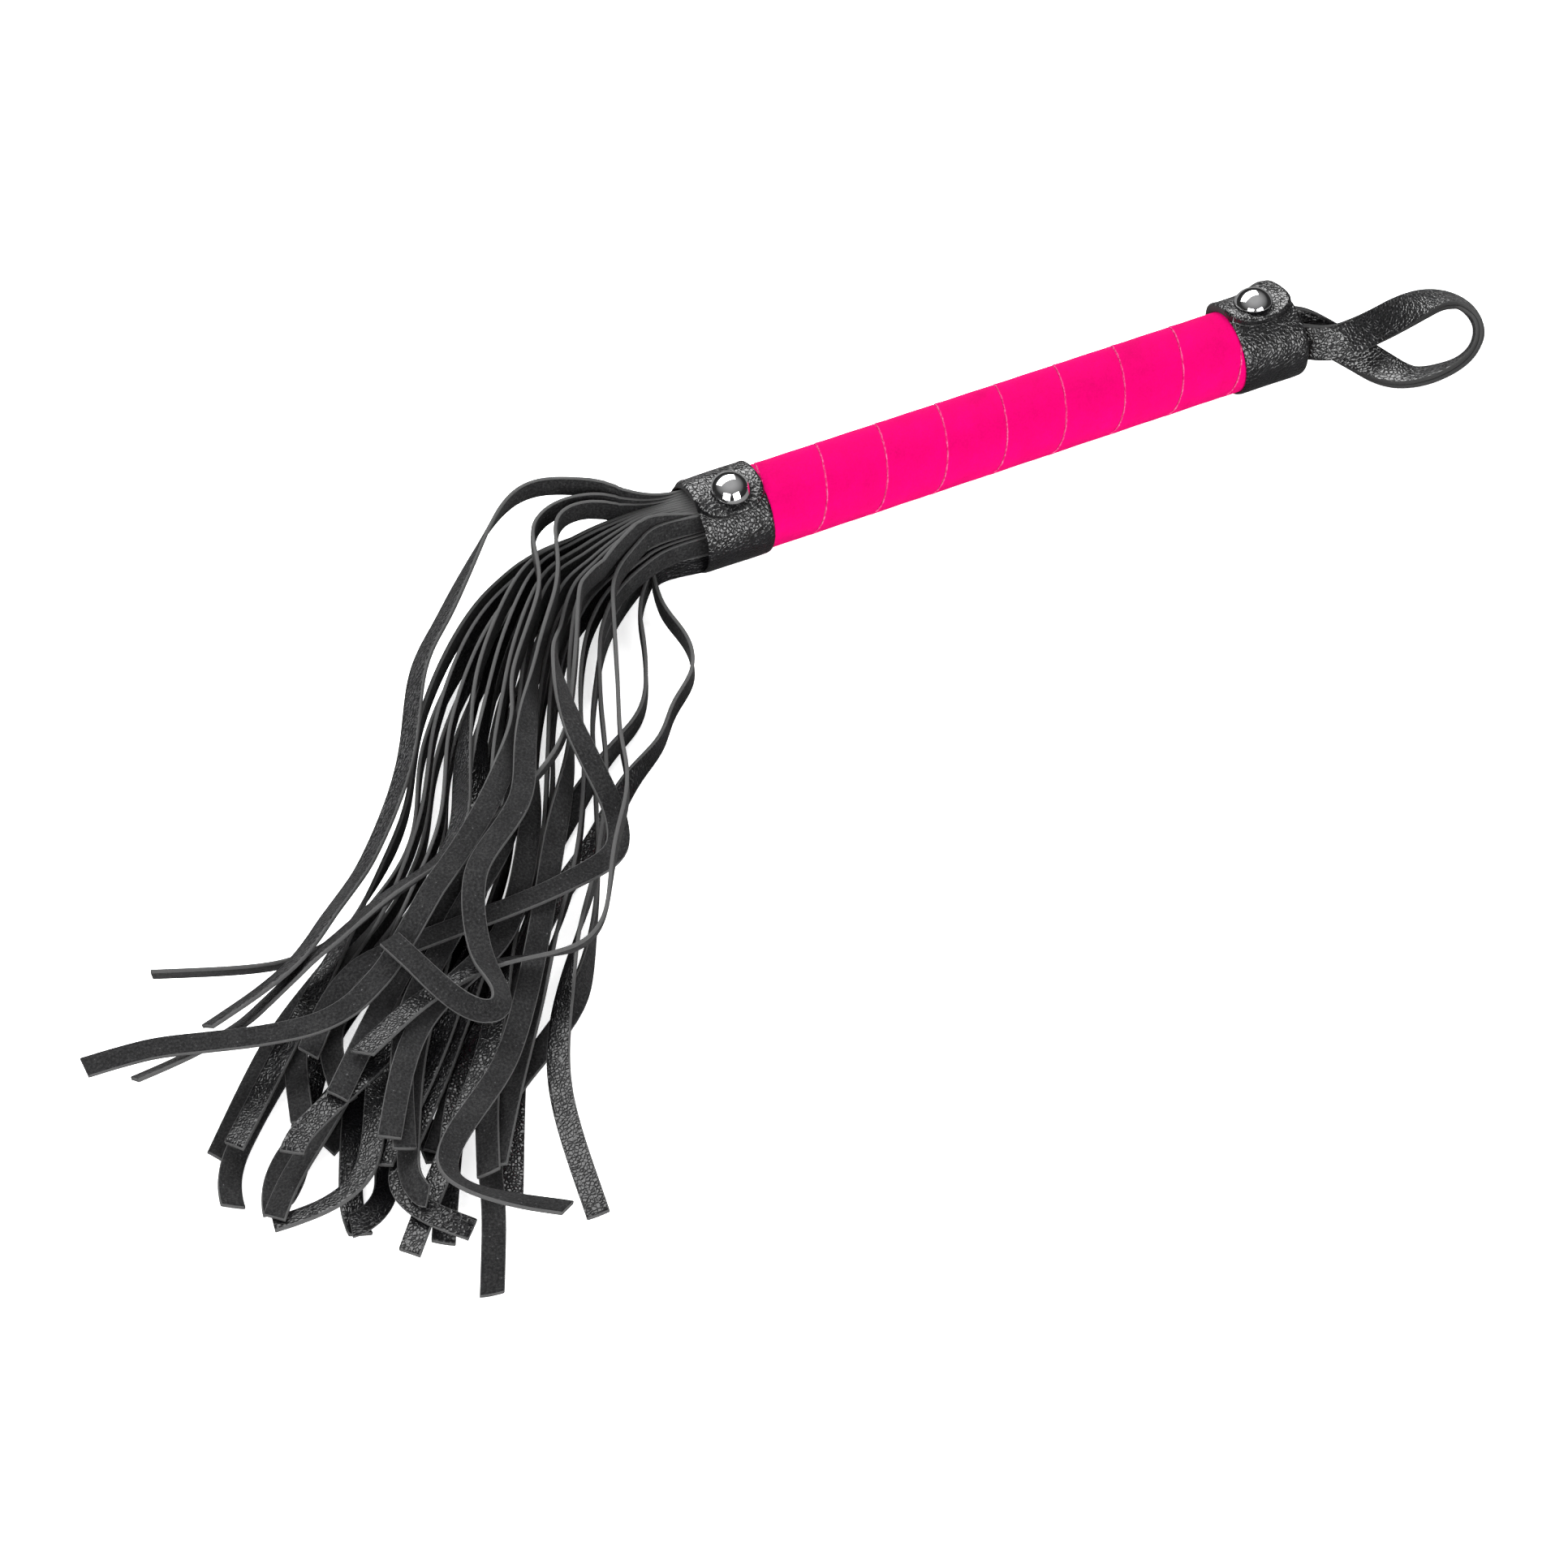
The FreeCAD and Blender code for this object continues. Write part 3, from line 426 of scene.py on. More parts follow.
class Nodes:
    """A short way to write a node tree."""

    def __init__(self, name):
        self.material = bpy.data.materials.new(name)
        self.material.use_nodes = True
        self.tree = self.material.node_tree
        self.surface = self.tree.nodes["Principled BSDF"]
        self.uv = self.add("ShaderNodeTexCoord").outputs["UV"]

    def add(self, kind, **values):
        """A new node with some of its settings."""
        node = self.tree.nodes.new(kind)
        for key, value in values.items():
            setattr(node, key, value)
        return node

    def link(self, source, target):
        self.tree.links.new(source, target)

    def set(self, name, value):
        """Feed an input of the surface from a socket or with a plain value."""
        socket = self.surface.inputs[name]
        if hasattr(value, "is_linked"):
            self.link(value, socket)
        else:
            socket.default_value = value

    def noise(self, scale, detail=3, rough=0.5, stretch=(1, 1, 1)):
        node = self.add("ShaderNodeTexNoise")
        node.inputs["Scale"].default_value = scale
        node.inputs["Detail"].default_value = detail
        node.inputs["Roughness"].default_value = rough
        self.link(self.stretched(stretch), node.inputs["Vector"])
        return node.outputs["Fac"]

    def stretched(self, stretch):
        if stretch == (1, 1, 1):
            return self.uv
        node = self.add("ShaderNodeMapping")
        node.inputs["Scale"].default_value = stretch
        self.link(self.uv, node.inputs["Vector"])
        return node.outputs["Vector"]

    def creases(self, scale, stretch):
        """Distance from the nearest border between random cells."""
        node = self.add("ShaderNodeTexVoronoi", feature="DISTANCE_TO_EDGE")
        node.inputs["Scale"].default_value = scale
        self.link(self.stretched(stretch), node.inputs["Vector"])
        return node.outputs["Distance"]

    def ramp(self, value, *stops):
        """A colour ramp from (place, grey) or (place, colour) stops."""
        node = self.add("ShaderNodeValToRGB")
        while len(node.color_ramp.elements) < len(stops):
            node.color_ramp.elements.new(0.5)
        for element, (place, colour) in zip(node.color_ramp.elements, stops):
            element.position = place
            element.color = (*colour, 1) if hasattr(colour, "__len__") else (colour, colour, colour, 1)
        self.link(value, node.inputs["Fac"])
        return node.outputs["Color"]

    def calc(self, a, b, operation="ADD", clamp=False):
        """A sum or other operation on sockets and numbers."""
        node = self.add("ShaderNodeMath", operation=operation, use_clamp=clamp)
        for i, item in enumerate((a, b)):
            if hasattr(item, "is_linked"):
                self.link(item, node.inputs[i])
            else:
                node.inputs[i].default_value = item
        return node.outputs[0]

    def mix(self, share, under, over):
        """One colour over another; the second is a plain colour."""
        node = self.add("ShaderNodeMix", data_type="RGBA")
        self.link(share, node.inputs[0])
        self.link(under, node.inputs[6])
        node.inputs[7].default_value = (*over, 1)
        return node.outputs[2]

    def bump(self, height, distance, strength):
        node = self.add("ShaderNodeBump")
        node.inputs["Strength"].default_value = strength
        node.inputs["Distance"].default_value = distance
        self.link(height, node.inputs["Height"])
        return node.outputs["Normal"]


def grain_leather(name, coat, dark=0.0035):
    """Black faux leather: pebbles of about a millimetre parted by creases, under a glossy coat."""
    n = Nodes(name)
    gap = n.creases(1000, (1, 1.25, 1))
    pebbles = n.ramp(gap, (0.0, 0.0), (0.10, 0.5), (0.26, 0.88), (0.5, 1.0))
    broad = n.noise(240, 3, 0.6)
    height = n.calc(pebbles, n.calc(broad, 0.8, "MULTIPLY"))
    normal = n.bump(height, 0.00011, 1.0)
    n.set("Normal", normal)
    n.set("Coat Normal", normal)
    n.set("Coat Weight", coat)
    n.set("Coat Roughness", 0.12)
    n.set("Base Color", n.ramp(broad, (0.3, dark * 0.6), (0.7, (dark * 1.3, dark * 1.3, dark * 1.5))))
    n.set("Roughness", n.ramp(n.noise(700, 2), (0.3, 0.26), (0.7, 0.42)))
    n.set("Specular IOR Level", 0.18)
    return n.material


def suede(name, tone=0.0085):
    """The cloth side of the leather: matt charcoal with a short grainy nap and a little dust."""
    n = Nodes(name)
    nap = n.noise(1500, 4, 0.8)
    patch = n.noise(150, 3, 0.6)
    mixed = n.calc(n.calc(nap, 0.8, "MULTIPLY"), n.calc(patch, 0.2, "MULTIPLY"))
    fibres = n.ramp(mixed, (0.40, tone * 0.3), (0.5, (tone, tone, tone * 1.06)), (0.60, tone * 2.3))
    dust = n.ramp(n.noise(1500, 2, 0.5), (0.725, 0.0), (0.76, 1.0))
    n.set("Base Color", n.mix(dust, fibres, (0.08, 0.08, 0.085)))
    n.set("Roughness", 0.95)
    n.set("Specular IOR Level", 0.15)
    n.set("Sheen Weight", 0.02)
    n.set("Sheen Roughness", 0.5)
    n.set("Normal", n.bump(nap, 0.00012, 0.7))
    return n.material


def cut_edge(name, tone=0.036):
    """The raw edge where the strip was cut: grey backing fibres between two dark skins."""
    n = Nodes(name)
    fibre = n.noise(5000, 3, 0.7, (1, 3, 1))
    n.set("Base Color", n.ramp(fibre, (0.3, tone * 0.45), (0.75, tone * 1.7)))
    n.set("Roughness", 0.85)
    n.set("Normal", n.bump(fibre, 0.0001, 0.6))
    return n.material


def pink_cloth(name):
    """Hot pink brushed cloth, wound as a ribbon: its V coordinate runs from one seam to the next."""
    n = Nodes(name)
    nap = n.noise(1500, 4, 0.8)
    patch = n.noise(110, 4, 0.65)
    split = n.add("ShaderNodeSeparateXYZ")
    n.link(n.uv, split.inputs[0])
    half = PITCH * MM / 2
    inward = n.calc(n.calc(split.outputs["Y"], half, "SUBTRACT"), 0.0, "ABSOLUTE")
    edge = n.calc(half, inward, "SUBTRACT")
    wander = n.calc(n.calc(n.noise(800, 3, 0.7), 0.5, "SUBTRACT"), 0.0005, "MULTIPLY")
    seam = n.ramp(n.calc(n.calc(edge, wander), 2800, "MULTIPLY", True), (0.25, 1.0), (0.7, 0.0))
    # Painted light: a lighter pink along each seam, broken up by noise, which lifts the shade in the seam's
    # groove into a light line.
    seam_painted_light = n.calc(seam, n.ramp(n.noise(700, 3, 0.8), (0.44, 0.05), (0.60, 0.9)), "MULTIPLY")
    body = n.ramp(
        n.calc(n.calc(nap, 0.5, "MULTIPLY"), n.calc(patch, 0.5, "MULTIPLY")),
        (0.36, (0.33, 0.0, 0.062)),
        (0.64, (0.44, 0.0, 0.088)),
    )
    # The painted light of the seams goes over the cloth's own pink here.
    n.set("Base Color", n.mix(seam_painted_light, body, (0.60, 0.12, 0.25)))
    n.set("Roughness", 0.92)
    n.set("Specular IOR Level", 0.03)
    n.set("Sheen Weight", 0.02)
    n.set("Sheen Tint", (1.0, 0.05, 0.4, 1))
    n.set("Normal", n.bump(nap, 0.00010, 0.5))
    return n.material


def polished(name, tone=0.78, rough=0.045):
    """Bare metal with a faint unevenness in its polish."""
    n = Nodes(name)
    n.set("Base Color", (tone, tone, tone * 1.01, 1))
    n.set("Metallic", 1.0)
    n.set("Roughness", n.ramp(n.noise(1800, 2), (0.4, rough), (0.7, rough * 1.8)))
    return n.material


def timber(name):
    """Plain wood with its grain along the dowel."""
    n = Nodes(name)
    rings = n.noise(60, 4, 0.6, (1, 12, 1))
    n.set("Base Color", n.ramp(rings, (0.3, (0.30, 0.17, 0.08)), (0.7, (0.50, 0.32, 0.17))))
    n.set("Roughness", 0.7)
    return n.material


# ---- meshes ------------------------------------------------------------------


def make_mesh(name, verts, faces, uvs, slots, materials):
    """A mesh in metres from millimetre points, with one UV pair per face corner and a material per face."""
    mesh = bpy.data.meshes.new(name)
    mesh.from_pydata((np.asarray(verts, float) * MM).tolist(), [], faces)
    layer = mesh.uv_layers.new(name="UVMap")
    flat = (np.concatenate([np.asarray(u, float) for u in uvs]) * MM).astype(np.float32)
    layer.data.foreach_set("uv", flat.ravel())
    for material in materials:
        mesh.materials.append(material)
    mesh.polygons.foreach_set("material_index", np.asarray(slots, np.int32))
    mesh.polygons.foreach_set("use_smooth", np.full(len(faces), True))
    mesh.validate()
    mesh.update()
    thing = bpy.data.objects.new(name, mesh)
    bpy.context.scene.collection.objects.link(thing)
    return thing


def frames(points, rolls):
    """Sideways and face directions along a strip, as the part's source lays it."""
    ways, _ = headings([tuple(p) for p in points])
    last = len(points) - 1
    side, face = [], []
    for i, (way, roll) in enumerate(zip(ways, rolls)):
        a, b = points[max(0, i - 2)], points[min(last, i + 2)]
        run = math.hypot(b[0] - a[0], b[1] - a[1])
        ahead = np.array([way[0] * run, way[1] * run, (b[2] - a[2]) * min(1, i / 9)])
        ahead /= np.linalg.norm(ahead)
        left = np.array([-way[1], way[0], 0.0])
        across = left * math.cos(roll) + np.cross(ahead, left) * math.sin(roll)
        side.append(across)
        face.append(np.cross(ahead, across))
    return np.array(side), np.array(face)


# The places of a strip's materials in its list.
GRAIN_SKIN, BACK_SKIN, EDGE_SKIN = 0, 1, 2


def strip_section(wide, thick):
    """The outline of a flat strip's cross-section, grain side first, and which skin each stretch is."""
    count, edge = 9, 0.22
    w, t = wide / 2, thick / 2
    top = [(x, t) for x in np.linspace(w - edge, -w + edge, count)]
    bottom = [(-x, -t) for x, _ in top]
    right = [(w - 0.05, t - 0.1), (w, 0.0), (w - 0.05, -t + 0.1)]
    left = [(-x, -z) for x, z in right]
    outline = top + [(-x, z) for x, z in right] + bottom + [(-x, z) for x, z in left]
    rounded = [EDGE_SKIN] * (len(right) + 1)
    skins = [GRAIN_SKIN] * (count - 1) + rounded + [BACK_SKIN] * (count - 1) + rounded
    return np.array(outline), skins


def strip_mesh(name, points, side, face, wide, thick, materials, seed, flip=1, ends=(True, True), cut=0.0,
               curl=0.0, offset=0.0):
    """A flat strip with rounded cut edges, along points with their sideways and face directions.

    flip -1 turns the grain side over, cut slants the far end, curl cups the strip a little across its
    width, and offset shifts the grain along it."""
    outline, skins = strip_section(wide, thick)
    count, around = len(points), len(outline)
    points = np.array(points, float)
    steps = np.linalg.norm(np.diff(points, axis=0), axis=1)
    along = np.concatenate([[0], np.cumsum(steps)])
    dice = np.random.default_rng(seed)
    phase, pace = dice.uniform(0, 6.28), dice.uniform(0.03, 0.06)
    cup = curl * np.sin(along * pace + phase)
    ahead = np.gradient(points, axis=0)
    ahead /= np.linalg.norm(ahead, axis=1)[:, None]
    verts = []
    for i in range(count):
        x = outline[:, 0]
        z = outline[:, 1] * flip + cup[i] * ((x / (wide / 2)) ** 2 - 0.4)
        shear = 0.0
        if i == count - 1:
            shear = cut
        elif i == count - 2:
            shear = cut * 0.6
        row = points[i] + side[i] * x[:, None] + face[i] * z[:, None] + ahead[i] * (x * shear)[:, None]
        verts.append(row)
    verts = np.concatenate(verts)
    turn = np.concatenate([[0], np.cumsum(np.linalg.norm(np.diff(outline, axis=0), axis=1))])
    turn = np.append(turn, turn[-1] + 0.3)
    shift = offset + dice.uniform(0, 400)
    faces, uvs, slots = [], [], []
    for i in range(count - 1):
        for j in range(around):
            k = (j + 1) % around
            quad = [i * around + j, i * around + k, (i + 1) * around + k, (i + 1) * around + j]
            uv = [(along[i] + shift, turn[j]), (along[i] + shift, turn[j + 1]),
                  (along[i + 1] + shift, turn[j + 1]), (along[i + 1] + shift, turn[j])]
            if flip < 0:
                quad, uv = quad[::-1], uv[::-1]
            faces.append(quad[::-1])
            uvs.append(uv[::-1])
            slots.append(skins[j])
    for end, at in zip(ends, (0, count - 1)):
        if end:
            ring = [at * around + j for j in range(around)]
            if (at == 0) == (flip > 0):
                ring = ring[::-1]
            faces.append(ring[::-1])
            uvs.append([tuple(corner) for corner in outline])
            slots.append(EDGE_SKIN)
    return make_mesh(name, verts, faces, uvs, slots, materials)


def grid_mesh(name, rows, uv_rows, materials, slot=lambda row, column: 0):
    """A surface through rows of points. slot says which material a quad has."""
    rows = np.asarray(rows, float)
    uv_rows = np.asarray(uv_rows, float)
    n, m = rows.shape[:2]
    faces, uvs, slots = [], [], []
    for i in range(n - 1):
        for j in range(m - 1):
            quad = [(i, j), (i, j + 1), (i + 1, j + 1), (i + 1, j)]
            faces.append([a * m + b for a, b in quad])
            uvs.append([uv_rows[a][b] for a, b in quad])
            slots.append(slot(i, j))
    return make_mesh(name, rows.reshape(-1, 3), faces, uvs, slots, materials)


def close_round(thing, distance):
    """Join the vertices where a surface meets itself."""
    work = bmesh.new()
    work.from_mesh(thing.data)
    bmesh.ops.remove_doubles(work, verts=work.verts, dist=distance)
    work.to_mesh(thing.data)
    work.free()
    return thing


# ---- the handle --------------------------------------------------------------


def grip_surface(cloth):
    """The wound ribbon: one edge laps slightly over the turn before it, with a shallow groove at the seam."""
    tuck, first = GRIP[1][0], -5.25 * PITCH
    spread = [0, 0.10, 0.22, 0.4, 0.7, 1.1, 1.8, 3, 4.5, 6.5, 8.5, 10.5, 12.5, 14, 15.2, 15.9, 16.3, 16.6,
              16.8, 16.92, 17.0]
    turns, per_turn = 10, 110
    rows, uv_rows = [], []
    for i in range(turns * per_turn + 1):
        angle = 2 * math.pi * i / per_turn
        base = first + PITCH * i / per_turn
        row, uv_row = [], []
        for across in spread:
            x = min(tuck, max(-tuck, base + across))
            far = PITCH - across
            lap = 0.11 * math.exp(-across / 1.2) - 0.03 * math.exp(-far / 1.5)
            groove = 0.26 * math.exp(-((across / 0.13) ** 2)) + 0.24 * math.exp(-((far / 0.16) ** 2))
            uneven = 0.025 * math.sin(angle * 3 + across * 0.6)
            r = RADIUS - 0.06 + lap - groove + uneven
            turn = -angle + math.radians(SEAM_TURN)
            row.append((x, r * math.cos(turn), r * math.sin(turn)))
            uv_row.append((angle * RADIUS, across))
        rows.append(row)
        uv_rows.append(uv_row)
    return grid_mesh("grip_cloth", rows, uv_rows, [cloth])


def eased(share):
    """A smooth step from 0 to 1."""
    share = min(1.0, max(0.0, share))
    return share * share * (3 - 2 * share)


def tilted(y, z, turn):
    """A point turned about the handle's axis by a number of degrees."""
    tilt = math.radians(turn)
    return y * math.cos(tilt) - z * math.sin(tilt), y * math.sin(tilt) + z * math.cos(tilt)


# A collar: its bore, how far round the handle its tongue reaches and the radius its grain is laid out at.
COLLAR_INNER = RADIUS + 0.05
TONGUE = 7.1
COLLAR_UV_RADIUS = 12.3


def bell(away, width):
    """A smooth bump of height 1."""
    return math.exp(-((away / width) ** 2))


def collar_radius(off, x, seat, slack, flare, waves):
    """How far out a collar's skin lies, by the degrees from its rivet and the place across its width."""
    angle, margin = math.radians(off), min(x, COLLAR_WIDE - x)
    arc, away = angle * 13.0, abs(x - COLLAR_WIDE / 2) / (COLLAR_WIDE / 2)
    if off >= 0:
        # The rounded tongue of the free end: inside is the depth in from its outline.
        inside = (1 - ((arc / TONGUE) ** 2.3 + away**2.6) ** (1 / 2.4)) * 8.0
        lap = eased(0.5 + inside / 0.5)
        lip = 0.30 * bell(inside - 0.9, 0.8) if inside > -0.4 else 0.0
    else:
        # The strap comes down on itself between 42 and 68 degrees from the rivet.
        lap = eased(1 - (-42 - off) / 26) if off < -42 else 1.0
        lip = 0.18 * bell(margin - 0.9, 0.8) * lap
    r = COLLAR_INNER + 0.75 + lap * (1.1 + slack) + lip * lap
    # The dish that the cap is pressed into.
    dish = eased((7.0 - math.hypot(arc, x - seat)) / 2.6)
    flat = CAP_SEAT / max(0.5, math.cos(angle))
    r += (min(r, flat) - 0.22 - r) * dish * (lap if off >= 0 else 1.0)
    # A corner that stands off, a slight waviness and rounded edges.
    r += flare * bell(off + 38, 16) * bell(x - seat - 6.5, 4.0)
    r += 0.06 * sum(math.sin(k * angle + p + x * f * 0.35) for f, k, p in waves) / 2
    return r - 0.42 * math.exp(-margin / 0.35) - 0.08 * math.exp(-margin / 1.6)


def collar_surface(name, side, turn, leather, edge, slack, flare):
    """A collar: strap wound round, its rounded free end lapped over and dished round the rivet.

    side is 1 at the wrist end and -1 at the tail end, turn is how far the rivet leans, slack is how loosely
    the strap is lapped and flare is how far its corner stands off."""
    wide, inner = COLLAR_WIDE, COLLAR_INNER
    seat = RIVET_INSET if side > 0 else wide - RIVET_INSET
    low = COLLAR_START if side > 0 else -COLLAR_END
    angles = np.radians(np.concatenate([np.linspace(0, 80, 81)[:-1], np.linspace(80, 140, 181)[:-1],
                                        np.linspace(140, 360, 221)]))
    section = np.concatenate([[0, 0.06, 0.2, 0.45], np.linspace(0.9, wide - 0.9, 78),
                              [wide - 0.45, wide - 0.2, wide - 0.06, wide]])
    dice = np.random.default_rng(5 if side > 0 else 6)
    waves = [(dice.uniform(0.4, 1.1), dice.integers(2, 6), dice.uniform(0, 6.28)) for _ in range(5)]
    rows, uv_rows = [], []
    for angle in angles:
        off = (math.degrees(angle) - 90 + 180) % 360 - 180
        row, uv_row = [], []
        ring = [(x, collar_radius(off, x, seat, slack, flare, waves)) for x in section]
        ring = [(0.25, inner + 0.03)] + ring + [(wide - 0.25, inner + 0.03)]
        for x, r in ring:
            row.append((low + x, r * math.cos(angle), r * math.sin(angle)))
            uv_row.append((angle * COLLAR_UV_RADIUS, x if r > inner + 0.1 else x - 2))
        rows.append(row)
        uv_rows.append(uv_row)
    borders = (0, len(rows[0]) - 2)
    thing = grid_mesh(name, rows, uv_rows, [leather, edge], lambda row, column: int(column in borders))
    for vertex in thing.data.vertices:
        vertex.co.y, vertex.co.z = tilted(vertex.co.y, vertex.co.z, turn)
    return close_round(thing, 1e-6)


def dome(name, side, turn, metal):
    """A rivet's domed cap with a thin rolled rim, lathed about the rivet's own axis."""
    reach, height, rim = CAP_REACH, CAP_HEIGHT, 0.5
    steps, around = 26, 96
    rise = height - rim
    radius = (reach**2 + rise**2) / (2 * rise)
    top = math.asin(reach / radius)
    profile = [(0, 0.02), (reach - 0.25, 0.02), (reach - 0.06, 0.1), (reach, 0.28)]
    for i in range(steps + 1):
        a = top * (1 - i / steps)
        profile.append((radius * math.sin(a), height - radius + radius * math.cos(a)))
    rows, uv_rows = [], []
    place = (COLLAR_START + RIVET_INSET) * side
    for i in range(around + 1):
        spin = 2 * math.pi * i / around
        row, uv_row = [], []
        for r, h in profile:
            across, up = tilted(r * math.sin(spin), h + CAP_SEAT, turn)
            row.append((place + r * math.cos(spin), across, up))
            uv_row.append((spin * reach, r + h))
        rows.append(row)
        uv_rows.append(uv_row)
    return close_round(grid_mesh(name, rows, uv_rows, [metal]), 2e-6)


# ---- the wrist strap ---------------------------------------------------------


def wrist_strap(skins):
    """The two plies of the wrist strap, back to back, bending where they leave the collar."""
    route = smooth_route(LOOP)
    lean = [math.radians(row[3]) for row in route]
    points = np.array([row[:3] for row in route])
    side, face = frames(points, lean)
    for name, sign in (("outer", 1), ("inner", -1)):
        placed = points + face * PLY_OFFSET * sign + np.array([COLLAR_END, 0, 0])
        strap = strip_mesh(f"wrist_strap_{name}", placed, side, face, STRAP_WIDE, PLY_THICK, skins, 40 + sign,
                           flip=sign)
        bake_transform(strap)
        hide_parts(f"wrist_strap_{name}_ply")


# ---- the tails ---------------------------------------------------------------

# A tail bends between these steps of its path.
BEND_FROM, BEND_TO = 4, 34


def lead_in(first, second):
    """The stretch of a tail from inside the collar's mouth to where its layer begins."""
    count = 22
    start = np.array([6.5, first[1] * 0.84, min(first[2] * 0.94, 6.0)])
    end = np.array(first, float)
    heading = np.array(second, float) - end
    heading /= np.linalg.norm(heading)
    span = np.linalg.norm(end - start)
    rows = []
    for i in range(count):
        t = i / (count - 1)
        h = (2 * t**3 - 3 * t**2 + 1, t**3 - 2 * t**2 + t, -2 * t**3 + 3 * t**2, t**3 - t**2)
        rows.append(h[0] * start + h[1] * span * np.array([-1, 0, 0]) + h[2] * end + h[3] * span * heading)
    return np.array(rows)


def join_all(things, name):
    """Join objects into one."""
    bpy.ops.object.select_all(action="DESELECT")
    for thing in things:
        thing.select_set(True)
    bpy.context.view_layer.objects.active = things[0]
    bpy.ops.object.join()
    things[0].name = name
    things[0].select_set(False)
    return things[0]


def all_strips(skins):
    """The tails, each bending from the root to its layer, and all their roots as one piece."""
    counts = [0] * len(LAYERS)
    shift = np.array([PIVOT, 0, 0])
    roots = []
    for number, (layer, points, roll, skin) in enumerate(all_tails(TAIL_WIDE, TAIL_THICK, TAIL_GAP)):
        counts[layer] += 1
        label = f"{LAYERS[layer]}_tail_{counts[layer]:02d}"
        pts = np.array(points)
        side, face = frames(points, roll)
        dice = random.Random(number)
        common = {"materials": skins, "seed": number, "flip": skin, "offset": number * 37}
        strip = strip_mesh(f"{label}_strip", pts + shift, side, face, TAIL_WIDE, TAIL_DRAWN,
                           ends=(False, True), cut=dice.uniform(-0.35, 0.35), curl=dice.uniform(0.05, 0.25),
                           **common)
        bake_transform(strip)
        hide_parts(label)
        lead = lead_in(pts[0], pts[BEND_FROM])
        lead_side, lead_face = frames(lead, [roll[0]] * len(lead))
        lead_side[-1], lead_face[-1] = side[0], face[0]
        roots.append(strip_mesh(f"root_{number}", lead + shift, lead_side, lead_face, TAIL_WIDE, TAIL_DRAWN,
                                ends=(True, False), **common))
    whole = join_all(roots, "tail_root_strands")
    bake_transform(whole)
    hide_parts("tail_root")


# ---- light and camera --------------------------------------------------------

# Lights the object, while the leather mirrors a sky that is dark low down and grey overhead.
SKY = 0.45
HORIZON_IN_REFLECTIONS, ZENITH_IN_REFLECTIONS = 0.03, 0.45
# Soft boxes: place and size in metres, power in watts, all turned to the middle of the object.
CENTRE = (-0.10, -0.08, 0.0)
LAMPS = (
    ("top_box", (-0.12, 0.90, 1.15), 62, 2.2, 1.0),
    ("left_box", (-1.00, -1.00, 0.50), 24, 0.9, 0.9),
    ("right_box", (0.22, -1.38, 0.44), 24, 0.9, 0.9),
)
# The photo's view: degrees round from the near side and up, and the lens angle. Lengths in metres.
VIEW_AZIMUTH, VIEW_ELEVATION, VIEW_ANGLE = -27.05, 43.2, 15.107
VIEW_TARGET, VIEW_DISTANCE = (-0.10684, -0.09274, 0.0), 1.4


def lamp(name, place, power, wide, tall):
    """A rectangular soft box."""
    data = bpy.data.lights.new(name, "AREA")
    data.shape = "RECTANGLE"
    data.size, data.size_y = wide, tall
    data.energy = power
    thing = bpy.data.objects.new(name, data)
    thing.location = place
    thing.rotation_euler = (Vector(CENTRE) - Vector(place)).to_track_quat("-Z", "Y").to_euler()
    bpy.context.scene.collection.objects.link(thing)


def paper_floor():
    """White paper under the object, which the leather mirrors as dark."""
    mesh = bpy.data.meshes.new("floor")
    size, z = 6.0, rest_box[0][2] - 0.0001
    corners = [(-size, -size, z), (size, -size, z), (size, size, z), (-size, size, z)]
    mesh.from_pydata(corners, [], [(0, 1, 2, 3)])
    paper = Nodes("paper")
    mirrored = paper.add("ShaderNodeLightPath").outputs["Is Glossy Ray"]
    paper.set("Base Color", paper.ramp(mirrored, (0.0, 0.95), (1.0, 0.10)))
    paper.set("Roughness", 0.9)
    paper.set("Specular IOR Level", 0.1)
    paper.set("Emission Color", (1, 1, 1, 1))
    seen = paper.add("ShaderNodeLightPath").outputs["Is Camera Ray"]
    paper.set("Emission Strength", paper.calc(seen, 0.65, "MULTIPLY"))
    mesh.materials.append(paper.material)
    floor = bpy.data.objects.new("floor", mesh)
    bpy.context.scene.collection.objects.link(floor)


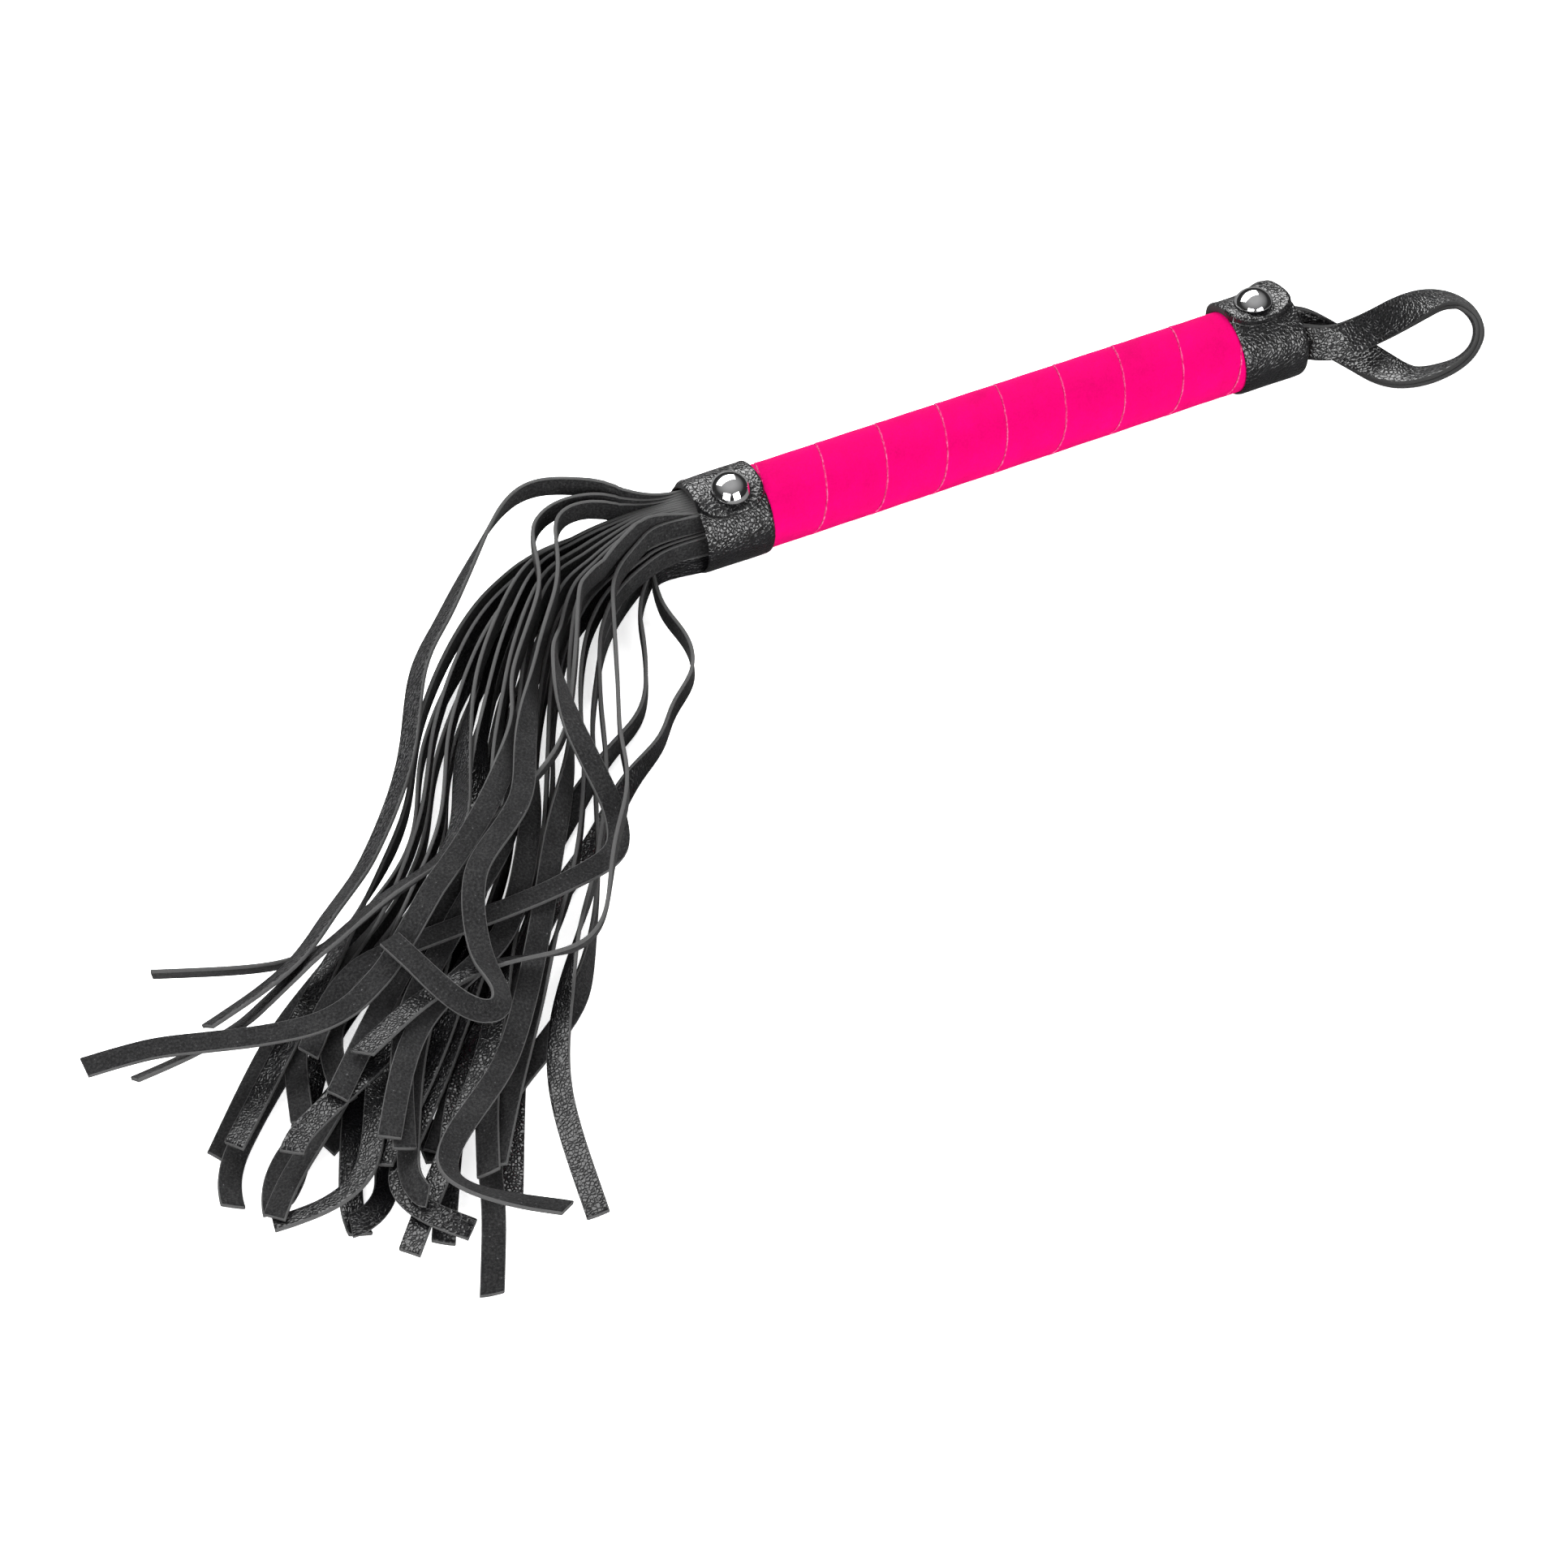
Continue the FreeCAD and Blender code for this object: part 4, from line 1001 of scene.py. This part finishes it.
def sky():
    """A world that is white to the camera, even grey as light, and a gradient in reflections."""
    world = bpy.data.worlds.new("studio")
    bpy.context.scene.world = world
    world.use_nodes = True
    tree = world.node_tree
    back = tree.nodes["Background"]
    path = tree.nodes.new("ShaderNodeLightPath")
    place = tree.nodes.new("ShaderNodeTexCoord")
    split = tree.nodes.new("ShaderNodeSeparateXYZ")
    mirrored = tree.nodes.new("ShaderNodeMapRange")
    mirrored.inputs["From Min"].default_value = 0.35
    mirrored.inputs["From Max"].default_value = 0.95
    mirrored.inputs["To Min"].default_value = HORIZON_IN_REFLECTIONS
    mirrored.inputs["To Max"].default_value = ZENITH_IN_REFLECTIONS
    level = tree.nodes.new("ShaderNodeMapRange")
    level.inputs["To Min"].default_value = SKY
    tree.links.new(place.outputs["Generated"], split.inputs[0])
    tree.links.new(split.outputs["Z"], mirrored.inputs["Value"])
    tree.links.new(mirrored.outputs["Result"], level.inputs["To Max"])
    tree.links.new(path.outputs["Is Glossy Ray"], level.inputs["Value"])
    white = tree.nodes.new("ShaderNodeMath")
    white.operation = "MAXIMUM"
    tree.links.new(level.outputs["Result"], white.inputs[0])
    tree.links.new(path.outputs["Is Camera Ray"], white.inputs[1])
    tree.links.new(white.outputs[0], back.inputs["Strength"])
    back.inputs["Color"].default_value = (1, 1, 1, 1)


def camera():
    """The photo's view of the object."""
    data = bpy.data.cameras.new("camera")
    thing = bpy.data.objects.new("camera", data)
    bpy.context.scene.collection.objects.link(thing)
    azimuth, elevation = math.radians(VIEW_AZIMUTH), math.radians(VIEW_ELEVATION)
    back = Vector((math.sin(azimuth) * math.cos(elevation), -math.cos(azimuth) * math.cos(elevation),
                   math.sin(elevation)))
    thing.location = Vector(VIEW_TARGET) + back * VIEW_DISTANCE
    thing.rotation_euler = (-back).to_track_quat("-Z", "Y").to_euler()
    data.sensor_width = 36
    data.angle = math.radians(VIEW_ANGLE)
    bpy.context.scene.camera = thing


def paint(thing, material):
    """Give a CAD node another finish, leaving its mesh as it is."""
    for slot in thing.material_slots:
        slot.link = "OBJECT"
        slot.material = material


def build():
    """Every piece and its body, then the stage."""
    tail_grain = grain_leather("grain_leather", 0.25)
    grain = grain_leather("collar_leather", 0.8)
    nap = suede("suede_back")
    edge = cut_edge("cut_edge")
    dark_edge = cut_edge("folded_edge", 0.01)
    cloth = pink_cloth("pink_cloth")
    metal = polished("polished_cap")
    steel = polished("plain_steel", 0.5, 0.3)
    wood = timber("dowel")

    grip = grip_surface(cloth)
    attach(grip, "handle")
    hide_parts("grip_wrap")
    paint(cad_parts["handle_core"], wood)
    for end, side, turn, slack, flare in (
        ("tail", -1, TAIL_END_TURN, 0.1, 0.0),
        ("loop", 1, WRIST_END_TURN, 0.4, 1.5),
    ):
        ring = collar_surface(f"{end}_collar_leather", side, turn, grain, dark_edge, slack, flare)
        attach(ring, "handle")
        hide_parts(f"{end}_collar")
        cap = dome(f"{end}_rivet_dome", side, turn, metal)
        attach(cap, "handle")
        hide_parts(f"{end}_rivet_cap")
        paint(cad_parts[f"{end}_rivet_post"], steel)
    wrist_strap([grain, nap, dark_edge])
    all_strips([tail_grain, nap, edge])
    paper_floor()
    sky()
    for row in LAMPS:
        lamp(*row)
    camera()
    bpy.context.scene.view_settings.view_transform = "Standard"


build()
